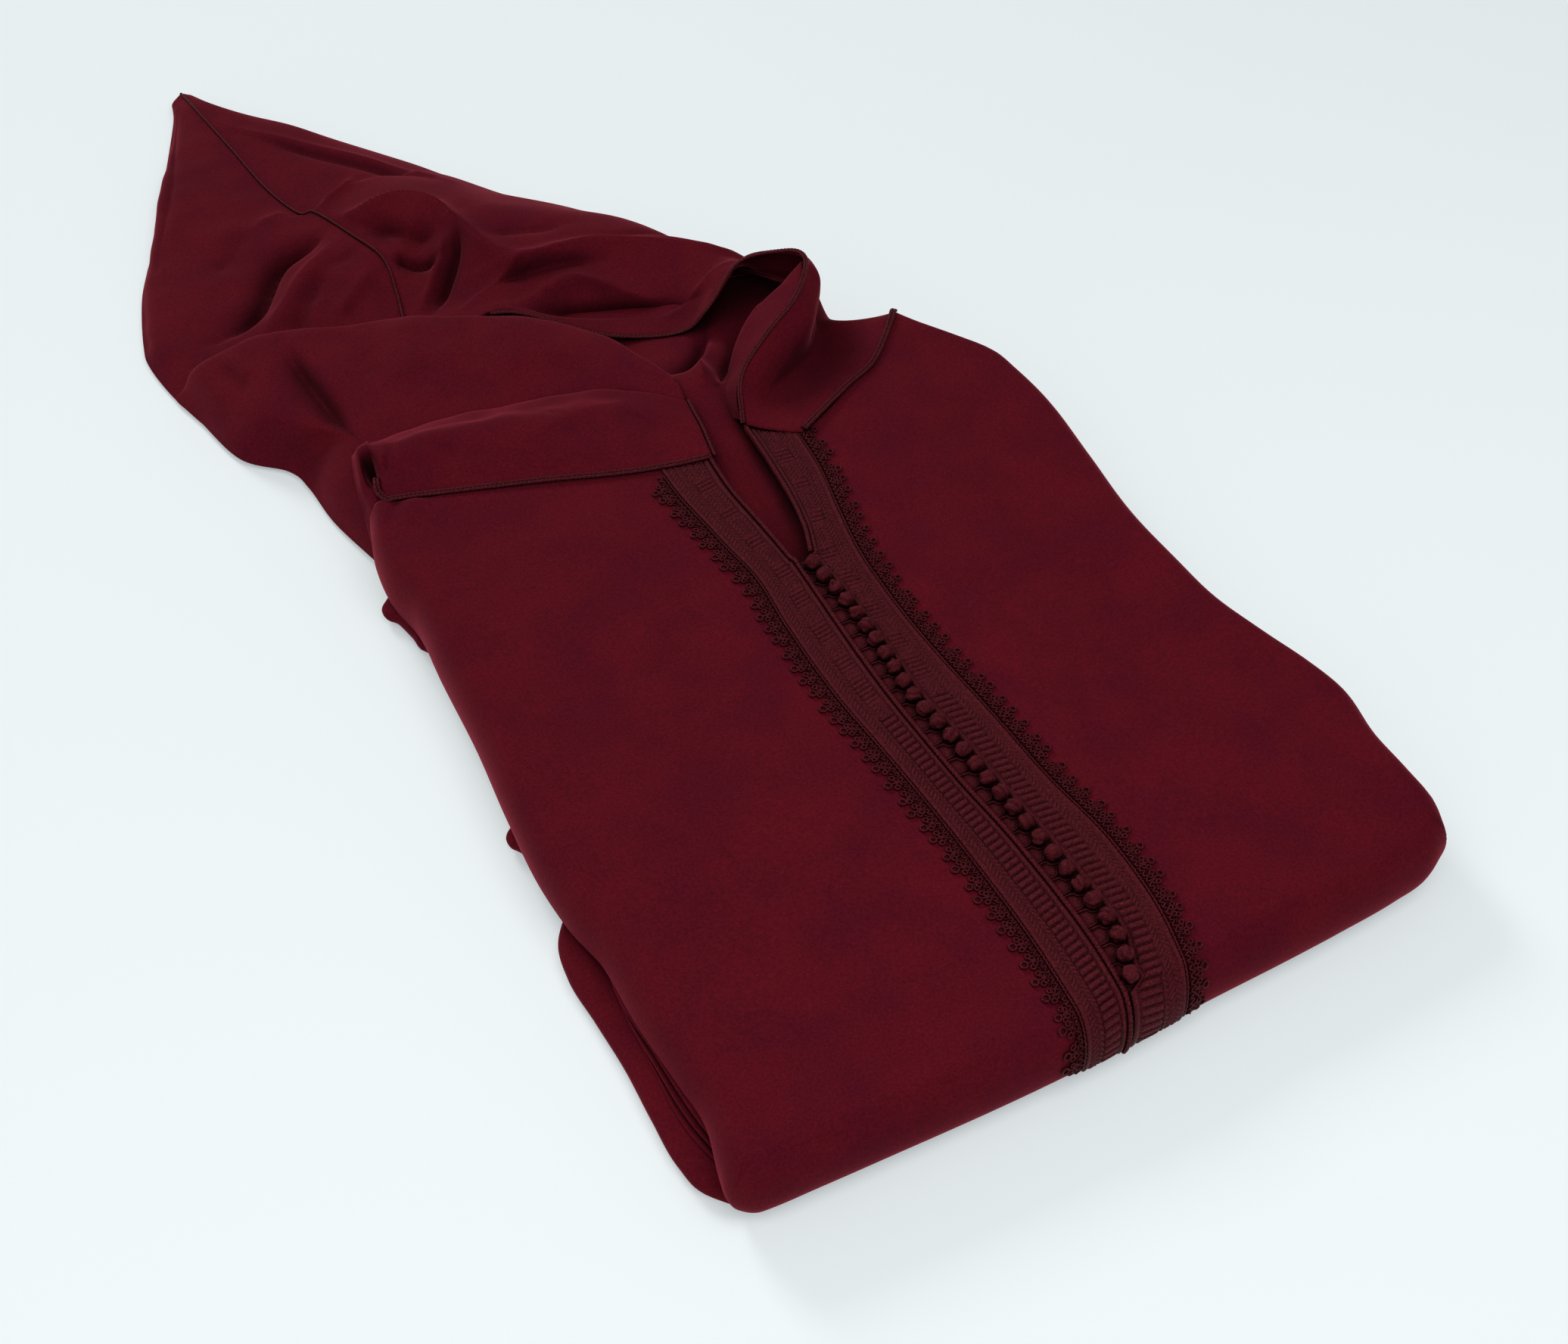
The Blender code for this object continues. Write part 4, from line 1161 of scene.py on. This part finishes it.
def make_skirt(finish):
    """The folded skirt layers: the lower one thick, the upper one in thin leaves."""
    for name, leaves, thickness in (
        ("skirt_fold_lower", [SKIRT_LOWER], CLOTH),
        ("skirt_fold_upper", SKIRT_LEAVES, LEAF),
    ):
        shells = []
        for columns in leaves:
            ring = skirt_fold(columns, stations=90, sides=17)
            shells.append(cloth_shell(ring.reshape(-1, 3), grid_quads(*ring.shape[:2], flip=True), thickness))
        body = joined([(verts, faces.tolist()) for verts, faces in shells])
        add(f"cloth_{name}", *body, finish, "burgundy_cloth", name)


LAYER_DROP = 12.0  # how far the hidden layers lie below their solids' tops, clear of the creases
LAYER_LEAST = 1.2  # the least height of such a point
LAYER_BASE = 1.5  # points up to here are the flat base, and stay


def make_layers(finish):
    """The hidden layers, a little lower than their solids where the cloth over them has creases."""
    for name in ("folded_layers", "hood_layers"):
        mesh = frame["nodes"][name].data
        verts = np.array([v.co for v in mesh.vertices]) / MM - SHIFT
        z = verts[:, 2]
        verts[:, 2] = np.where(z > LAYER_BASE, np.maximum(LAYER_LEAST, z - LAYER_DROP), z)
        faces = [list(p.vertices) for p in mesh.polygons]
        add(f"cloth_{name}", verts, faces, finish, "burgundy_cloth", name)


def make_sleeve_tips(finish):
    """A soft pillow on each sleeve tip's outline, thickest along its middle."""
    for name, corner_text in SLEEVE_TIPS.items():
        corners = points_in(corner_text)
        edge = spline(np.concatenate([corners, corners[:1]]), 91)[:-1]
        middle = np.array([SLEEVE_TIP_X, edge[:, 1].mean()])
        turns = np.radians(np.linspace(-90, 90, 13))
        rings = [middle + (edge - middle) * (1 - SLEEVE_TIP_SHRINK * (1 - np.cos(turn))) for turn in turns]
        heights = SLEEVE_TIP_MIDDLE + SLEEVE_TIP_HALF * np.sin(turns)
        rings = [np.concatenate([ring, np.full((len(edge), 1), z)], 1) for ring, z in zip(rings, heights)]
        count = len(edge)
        faces = [quad[::-1] for quad in ring_quads(len(turns), count)]
        last = (len(turns) - 1) * count
        faces += [list(range(count)), list(range(last, last + count))[::-1]]
        add(f"cloth_{name}", np.concatenate(rings), faces, finish, "burgundy_cloth", name)


# ---------------------------------------------------------------- braid, crochet and cords

BAND_TOP = 418.0
BAND_END = -FOLD_RADIUS * UNDER_TURN  # down under the fold
BAND_TOP_ROOM = 1.1  # to the seam above
BAND_BEND = 12  # a higher power keeps the bend to that seam closer to the top
BAND_THICK = 1.3
BAND_POINTS = 66  # across a band
BAND_STEP = 0.56
BAND_FADE = 0.5  # from each long edge, where the band rises to its full thickness
EDGE_DROP = 1.2  # of a band's long edges, down into the cloth
END_LIFT = -0.8  # of its two ends, in the cloth
UNDERLAY_LIFT = 0.22  # of the braid that runs on under the buttons, to the slit
PLACKET_TOP = {"left": 416.5, "right": 432.0}
SLIT_ROOM = 2 * CORD_RADIUS

# The braid's pattern
RUNG_PITCH = 4.3
RUNG_HEIGHT = 1.4
TOP_RUNG_PITCH = 3.1  # of the clear groups
TOP_RUNG_HEIGHT = 0.95
RUNG_GAP = 0.35  # depth between rungs
FLAT_PIPING = 3.0
PIPING_HEIGHT = 0.75
HERRINGBONE_WIDTH = 3.8
HERRINGBONE_PITCH = 2.8
STITCH_HEIGHT = 0.9
WELT_HEIGHT = 1.15
RELIEF = 0.85  # the share of all these heights that is built
RUNGS_FROM = 0.43  # this and the rest as shares of the band's width, from the outer seam
RUNGS_TO = 0.85
WELT_FROM = 0.855
WELT_MIDDLE = 0.93
WELT_HALF = 0.065

# Where along the bands the cross rungs stand clear of each other, towards the top: the middle of each group
# and half its length. Below LADDER_TOP they make an unbroken ladder.
RUNG_GROUPS = table("""
    y   half
    398    6
    372    4
    345    5
    318    6
    296    7
    268    8
    243    6
    222   10
""")
LADDER_TOP = 200.0
BUTTONS_END = 0.5  # below this y the right band reaches the slit at its full thickness
BUTTONS_FADE = 3.5  # the stretch above it where the band widens
BUTTON_REACH = 3.9  # from the buttons' line to the band's thick part
MOUTH_ROOM = SLIT_ROOM - 0.8  # from the V's edge to the right band


def slit_side(y):
    """Where the right half's braid ends beside the slit."""
    return x_at(SLIT, y) + 2 * GAP


def band_edges(side, up):
    """The outer seam and the inner edge of a band, as x, at places of front_place."""
    y = table_y(up)
    if side == "left":
        return x_at(BAND_SEAM_LEFT, y), opening(side, y) - SLIT_ROOM
    beside = x_at(BUTTONS, y) + BUTTON_REACH
    past = np.clip((y - BUTTONS_END) / BUTTONS_FADE, 0, 1)
    at_slit = slit_side(y)
    at_mouth = x_at(V_RIGHT, y) + MOUTH_ROOM
    inner = np.where(y > V_FOOT, at_mouth, at_slit + (beside - at_slit) * past)
    return x_at(BAND_SEAM_RIGHT, y), inner


def ridge(distance, half):
    """A rounded ridge's height, 1 at distance 0 and 0 beyond half."""
    return np.sqrt(np.clip(1 - (distance / half) ** 2, 0, 1))


def rungs_over(t, start, end, y, run):
    """The cross rungs' height, t mm in from the outer seam, and how clear of the herringbone they stand."""
    middle, half = (start + end) / 2, (end - start) / 2
    ladder = y < LADDER_TOP + 3
    beat = ((run + 0.15 * (t - middle)) / np.where(ladder, RUNG_PITCH, TOP_RUNG_PITCH)) % 1.0 - 0.5
    bars = np.clip(1 - np.abs(beat / 0.40) ** 4, 0, 1) ** 0.6
    rounded = np.sqrt(np.clip(1 - np.abs((t - middle) / half) ** 8, 0, 1))
    clear = np.where(y < LADDER_TOP, 1.0, 0.0)
    for place, reach in zip(RUNG_GROUPS["y"], RUNG_GROUPS["half"]):
        clear = np.maximum(clear, np.clip(1.6 - np.abs(y - place) / reach, 0, 1))
    return np.where(ladder, RUNG_HEIGHT, TOP_RUNG_HEIGHT) * bars * rounded - RUNG_GAP, clear


def band_relief(t, width, y, run):
    """The stitched relief over a band, t mm in from its outer seam: a flat piping, herringbone columns, rungs
    with deep gaps, and a round welt along the inner edge."""
    column = (t - FLAT_PIPING) / HERRINGBONE_WIDTH
    lean = np.where(np.floor(column) % 2 == 0, 0.9, -0.9)
    stitch = np.abs(np.sin(np.pi * (run + lean * t) / HERRINGBONE_PITCH)) ** 0.7
    seam = np.clip((np.abs(column % 1.0 - 0.5) - 0.36) / 0.14, 0, 1)
    relief = STITCH_HEIGHT * stitch * (1 - 0.8 * seam)
    start, end = RUNGS_FROM * width, RUNGS_TO * width
    rungs, clear = rungs_over(t, start, end, y, run)
    relief = np.where((t >= start) & (t <= end), relief * (1 - clear) + rungs * clear, relief)
    piping = PIPING_HEIGHT * ridge(t - FLAT_PIPING / 2, FLAT_PIPING / 2)
    relief = np.where(t < FLAT_PIPING, piping, relief)
    welt = WELT_HEIGHT * ridge(t - WELT_MIDDLE * width, WELT_HALF * width) - 0.2
    return np.where(t > WELT_FROM * width, welt, relief) - 0.3


def make_band(side, finish):
    """A braid band: raised stitches over a strip on the front, with its edges turned down to the cloth."""
    share = np.linspace(0, 1, BAND_POINTS)
    ups = np.arange(BAND_TOP - FOLD_START, BAND_END, -BAND_STEP)
    outer, inner = band_edges(side, ups)
    width = np.abs(inner - outer)[:, None]
    end = inner
    if side == "right":
        end = np.where(table_y(ups) > V_FOOT - 2, inner, slit_side(table_y(ups)))
    x = outer[:, None] * (1 - share) + end[:, None] * share
    t = np.abs(end - outer)[:, None] * share
    seam = y_at(YOKE_SEAM if side == "left" else FOOT_SEAM, x[0])
    top = seam - BAND_TOP_ROOM - y_at(FRONT, x[0]) - PACK_ROLL
    bend = np.clip(ups / ups[0], 0, 1)[:, None] ** BAND_BEND
    up = ups[:, None] + (top - ups[0]) * bend
    relief = band_relief(t, width, table_y(up), -up)
    fade = np.clip(np.minimum(t, width - t) / BAND_FADE, 0, 1) ** 0.5
    lift = TRIM_GAP + BAND_THICK - 0.35 + relief * RELIEF
    lift = np.where(fade < 1, TRIM_GAP + (lift - TRIM_GAP) * fade, lift)
    lift = np.where(t > width - 0.01, UNDERLAY_LIFT, lift)
    lift[:, [0, -1]] -= EDGE_DROP
    lift[0] = lift[-1] = END_LIFT
    points = over_front(x, up, lift)
    quads = grid_quads(*points.shape[:2], flip=side == "left")
    add(f"braid_band_{side}", points.reshape(-1, 3), quads, finish, "braid_thread", f"band_{side}")


# The crochet's threads, each with its radius and its height over the cloth
THREADS = {
    "chain": (0.8, 0.9),
    "wave": (0.72, 0.8),
    "wave_over": (0.72, 1.4),
    "stem": (0.75, 1.1),
    "bow": (0.55, 0.9),
    "ring": (0.75, 1.2),
    "side_ring": (0.62, 1.3),
}
MESH_OUT = 3.2  # from the seam to the middle of the crossing threads
MESH_WAVE = 1.4  # how far they swing to each side
STEM_FROM = 4.0
BOW_FROM = 4.4
BOW_OUT = 2.2
RING = 1.75  # radius of a picot's ring
RING_OUT = 10.6  # from the seam to its middle

# The small rings beside each picot's ring
SIDE_RINGS = table("""
    out  aside
    5.9   -1.7
    5.9    1.7
    7.6   -2.8
    7.2    3.1
""")
SIDE_RING = 1.2  # their radius


def make_edging(side, finish):
    """Crochet edging: a mesh of threads beside the band's seam, then a stem and a ring in every pitch."""
    chance = np.random.default_rng(5 if side == "left" else 6)
    out = -1 if side == "left" else 1
    top = BAND_TOP - FOLD_START - 6
    count = int((top - BAND_END) / PICOT_PITCH)
    bodies = []

    def thread(kind, reach, up):
        radius, lift = THREADS[kind]
        seam = band_edges(side, up)[0]
        path = over_front(seam + out * reach, up, np.full(len(up), lift))
        bodies.append(tube(path, radius, 5, closed=kind.endswith("ring")))

    def ring(kind, radius, reach, up):
        thread(kind, reach + radius * np.cos(turns), up + radius * np.sin(turns))

    whole = np.linspace(top + 4, BAND_END + 4, int((top - BAND_END) / 1.1))
    wave = MESH_WAVE * np.sin(whole * 2 * np.pi / (PICOT_PITCH / 3))
    thread("chain", 0.6 + 0.35 * np.sin(whole * 2.4), whole)
    thread("wave", MESH_OUT + wave, whole)
    thread("wave_over", MESH_OUT - wave, whole)
    turns = np.linspace(0, 2 * np.pi, 14, endpoint=False)
    up_stem, round_bow = np.linspace(0, 1, 6), np.linspace(0, 1, 9)
    for k in range(count):
        middle = top - (k + 0.5) * PICOT_PITCH + chance.normal(0, 0.35)
        lean = chance.normal(0, 0.9)
        radius = RING + chance.normal(0, 0.08)
        reach = RING_OUT + chance.normal(0, 0.35)
        ring("ring", radius, reach, middle + lean)
        for out_by, aside in zip(SIDE_RINGS["out"], SIDE_RINGS["aside"]):
            ring("side_ring", SIDE_RING, out_by, middle + aside + lean * 0.4 + chance.normal(0, 0.2))
        stem = STEM_FROM + (reach - radius - STEM_FROM) * up_stem
        thread("stem", stem, middle + lean * up_stem**1.5)
        for half_pitch in (-PICOT_PITCH / 2, PICOT_PITCH / 2):
            thread("bow", BOW_FROM + BOW_OUT * np.sin(np.pi * round_bow), middle + half_pitch * round_bow)
    body = joined(bodies)
    add(f"crochet_edging_{side}", *body, finish, "braid_thread", f"edging_{side}")


CORD_SIDES = 10
CORD_STEP = 0.6
TWIST_PITCH = 2.4


def cord_body(path, radius):
    """A twisted cord along a path."""
    path = even(spline(path, len(path) * 4), CORD_STEP)
    gone = np.arange(len(path)) * CORD_STEP
    turns = np.linspace(0, 2 * np.pi, CORD_SIDES, endpoint=False)
    twist = np.cos(2 * turns[None] - 2 * np.pi * gone[:, None] / TWIST_PITCH)
    return tube(path, radius * (0.90 + 0.14 * twist), CORD_SIDES)


def stitched_cord(path, radius):
    """A flat sewn cord: two twisted strands side by side."""
    path = even(spline(path, len(path) * 4), 1.0)
    side = frames_along(path)[0]
    low = (0, 0, radius * 0.25)
    return joined([cord_body(path + side * sign * radius * 0.5 - low, radius * 0.72) for sign in (-1, 1)])


def placket_path(side):
    """The path of the cord on the front's inner edge. The left one runs on down the slit and the fold."""
    end = BAND_END if side == "left" else V_FOOT + 1.6 - FOLD_START
    up = np.linspace(PLACKET_TOP[side] - FOLD_START, end, 120)
    y = table_y(up)
    if side == "left":
        x = opening(side, y) - CORD_RADIUS - GAP
    else:
        x = x_at(V_RIGHT, y) + CORD_RADIUS / 2
    return over_front(x, up, np.full(len(up), CORD_RADIUS + TRIM_GAP))


def on_seam(edge, inner):
    """A sewn cord's path beside and just over a panel's edge, given the panel's next points inward."""
    return edge + unit((edge - inner) * (1, 1, 0)) * SEAM_STEP + (0, 0, CORD_RADIUS + TRIM_GAP)


def past_edge(edge, inner):
    """The path of a cord sewn on to a panel's free edge, given the panel's next points inward."""
    return edge + unit(edge - inner) * (EDGE_CORD_RADIUS + 2 * TRIM_GAP)


FLAT_CORDS = ("yoke_cord", "hood_foot_cord", "hood_edge_cord")
SEAM_CORD = 1.0  # radius
BROAD_CORD = 1.7
EDGE_CORD_FROM = 0.49  # where it starts along the right hood panel, as a share of it
FOOT_CORD_FROM = 0.80
YOKE_CORD_FROM = 62  # the yoke's row where its cord meets the seam
YOKE_CORD_START = [(8, 486, 48), (6, 481, 53.5), (4.5, 474, 50.8)]  # it comes up out of the yoke's open end


def make_cords(grids, finish):
    """The sewn cords, each on the edge of a panel."""
    yoke, right = grids["yoke_left"], grids["hood_right"]
    hood_edge = right[int(len(right) * EDGE_CORD_FROM) :: 4]
    foot = right[np.linspace(FOOT_CORD_FROM * len(right), len(right) - 1, 18).astype(int)]
    shoulder = yoke[YOKE_CORD_FROM::4]
    over_seam = (CROWN_GAP / 2, 0, SEAM_CORD + TRIM_GAP)
    paths = {
        "placket_cord_left": (placket_path("left"), CORD_RADIUS),
        "placket_cord_right": (placket_path("right"), CORD_RADIUS),
        "yoke_cord": (np.concatenate([YOKE_CORD_START, on_seam(shoulder[:, 0], shoulder[:, 1])]), BROAD_CORD),
        "hood_foot_cord": (on_seam(foot[:, -1], foot[:, -2]), BROAD_CORD),
        "hood_seam_cord": (grids["hood_crown_left"][1::4, -1] + over_seam, SEAM_CORD),
        "hood_edge_cord": (past_edge(hood_edge[:, 0], hood_edge[:, 1]), EDGE_CORD_RADIUS),
        "yoke_edge_cord": (past_edge(yoke[-1, :-1:3], yoke[-2, :-1:3]), EDGE_CORD_RADIUS),
    }
    for name, (path, radius) in paths.items():
        body = stitched_cord(path, radius) if name in FLAT_CORDS else cord_body(path, radius)
        add(f"cord_{name}", *body, finish, "braid_thread", name)


# The thread loop round a button, from the button's middle; both ends run on to the slit
LOOP = table("""
     out  along
    -4.6    1.0
      -3    3.4
       1    4.3
     4.1      0
       1   -4.3
      -3   -3.4
    -4.6   -1.0
""")
LOOP_POINTS = 28


def button_loop(x, y, up):
    """The loop that lies round a button's foot and runs into the slit."""
    root = float(x_at(SLIT, y)) - 1.0 - x
    turns = np.stack([LOOP["out"], LOOP["along"]], 1)
    path = spline(np.concatenate([[[root, 0.7]], turns, [[root, -0.7]]]) + (x, up), LOOP_POINTS)
    return tube(over_front(path[:, 0], path[:, 1], np.full(LOOP_POINTS, 0.55)), 0.6, 6)


def button(number, y, finish):
    """A knotted ball button: strands wound over a ball that is a little flat where it sits on the front."""
    x = float(x_at(BUTTONS, y))
    up = y - float(y_at(FRONT, x)) - PACK_ROLL
    seat, normal = front_place(x, up), front_normal(x, up)
    chance = np.random.default_rng(100 + number)
    segments, rings = 28, 18
    polar = np.linspace(0, np.pi, rings + 1)[:, None]
    around = np.linspace(0, 2 * np.pi, segments, endpoint=False)[None]
    x1, y1, z1 = np.sin(polar) * np.cos(around), np.sin(polar) * np.sin(around), -np.cos(polar) + 0 * around
    ball = np.stack([x1, y1, z1], -1)
    axes = Matrix.Rotation(chance.uniform(0, 6.3), 3, chance.normal(size=3).tolist())
    a, b, c = (ball @ np.array(axes).T).transpose(2, 0, 1)
    wound = np.abs(np.sin(2.5 * a + 2.0 * b)) * (c > 0) + np.abs(np.sin(2.5 * b - 2.0 * c)) * (c <= 0)
    radius = BUTTON_RADIUS * (0.82 + 0.26 * wound + 0.07 * np.sin(5 * a + number) * np.sin(4 * b))
    places = ball * radius[..., None]
    places[..., 2] = np.maximum(places[..., 2], -BUTTON_SEAT * BUTTON_RADIUS)
    turn = np.array(Vector((0, 0, 1)).rotation_difference(Vector(normal)).to_matrix())
    places = places @ turn.T + seat + normal * (BUTTON_SEAT * BUTTON_RADIUS + TRIM_GAP)
    faces = ring_quads(rings + 1, segments)
    body = joined([(places.reshape(-1, 3), faces), button_loop(x, y, up)])
    add(f"knotted_button_{number:02d}", *body, finish, "braid_thread", f"button_{number:02d}")


# ---------------------------------------------------------------- what each sheet was cut from

# The cut of what shows of each piece, in mm, how it is held, the piece under it, and the trims sewn to it.
# The buttons are sewn to front_right too.
SHEETS = """
    piece          width length held   under          trims
    front_left       240    490 folded folded_layers  braid_band_left crochet_edging_left placket_cord_left
    front_right      240    520 folded folded_layers  braid_band_right crochet_edging_right placket_cord_right
    yoke_left         90    210 folded hood_left_side yoke_cord yoke_edge_cord
    hood_crown_left  120    360 laid   hood_layers    hood_seam_cord
    hood_left_side   200    210 folded hood_layers
    hood_right       200    450 draped hood_layers    hood_foot_cord hood_edge_cord
    collar_facing     28    130 folded hood_layers
    back_neck        100    350 draped folded_layers
    skirt_fold_lower  70    190 folded
    skirt_fold_upper  95    135 folded skirt_fold_lower
    sleeve_tip_upper  30     50 folded
    sleeve_tip_lower  30     40 folded
"""


def declare_sheets():
    """Reads what flat cloth each soft piece was cut from and looks up the trims sewn to it; nothing is kept
    or stated.
    """
    for line in SHEETS.strip().splitlines()[1:]:
        name, width, length, held, *rest = line.split()
        trims = [bpy.data.objects[f"cord_{trim}" if "_cord" in trim else trim] for trim in rest[1:]]
        if name == "front_right":
            trims += [piece for piece in bpy.data.objects if piece.name.startswith("knotted_button")]


# ---------------------------------------------------------------- the setting


def make_camera():
    """The camera that sees the robe from the front and above."""
    down, turned = math.radians(CAMERA_DOWN), math.radians(CAMERA_TURN)
    forward = Vector((math.cos(down) * math.sin(turned), math.cos(down) * math.cos(turned), -math.sin(down)))
    right = Vector((math.cos(turned), -math.sin(turned), 0))
    upward = right.cross(forward)
    lens = bpy.data.cameras.new("camera")
    lens.sensor_width = SENSOR
    lens.lens = SENSOR * FOCAL_SHARE
    lens.clip_start = 0.01
    camera = put("camera", lens)
    axes = Matrix((right, upward, -forward)).transposed().to_4x4()
    camera.matrix_world = Matrix.Translation(to_frame(CAMERA_PLACE)) @ axes
    bpy.context.scene.camera = camera


def make_light(name, place, target, power, size, colour):
    """A square area light, aimed."""
    lamp = bpy.data.lights.new(name, "AREA")
    lamp.energy = power
    lamp.size = size
    lamp.color = colour
    light = put(name, lamp)
    light.location = place
    light.rotation_euler = (Vector(target) - Vector(place)).to_track_quat("-Z", "Y").to_euler()


FLOOR_HALF = 3.0  # metres


def make_setting():
    """The floor, three lights and the room's soft light."""
    mesh = bpy.data.meshes.new("floor")
    corners = [(x * FLOOR_HALF, y * FLOOR_HALF, 0) for x, y in ((-1, -1), (1, -1), (1, 1), (-1, 1))]
    mesh.from_pydata(corners, [], [(0, 1, 2, 3)])
    mesh.materials.append(floor_finish())
    floor = put("floor", mesh)
    floor.location = (0, 0, -0.0005)
    make_light("key", (-0.9, 4.2, 2.9), (0, 0.1, 0), 115, 1.6, (1.0, 0.99, 0.97))
    make_light("overhead", (0.0, -1.3, 2.0), (-0.05, -0.2, 0), 30, 1.8, (0.97, 0.985, 1.0))
    make_light("fill", (-1.5, -0.9, 1.1), (0, 0, 0), 7, 1.8, (0.95, 0.98, 1.0))
    world = bpy.data.worlds.new("soft_room")
    scene = bpy.context.scene
    scene.world = world
    world.use_nodes = True
    background = world.node_tree.nodes["Background"]
    background.inputs["Color"].default_value = (0.90, 0.955, 0.98, 1)
    background.inputs["Strength"].default_value = 0.28
    scene.view_settings.view_transform = "Standard"


def main():
    """Builds the robe and its setting."""
    make_camera()
    make_setting()
    cloth = burgundy_cloth("burgundy_cloth_nap", CLOTH_PAINTED_SHADE)
    thread = braid_thread()
    make_fronts(cloth)
    grids = make_panels(cloth)
    make_skirt(cloth)
    make_layers(cloth)
    make_sleeve_tips(cloth)
    for side in ("left", "right"):
        make_band(side, thread)
        make_edging(side, thread)
    make_cords(grids, thread)
    for number, y in enumerate(np.linspace(BUTTONS["y"][-1], BUTTONS["y"][0], BUTTON_COUNT), 1):
        button(number, float(y), thread)
    declare_sheets()


main()
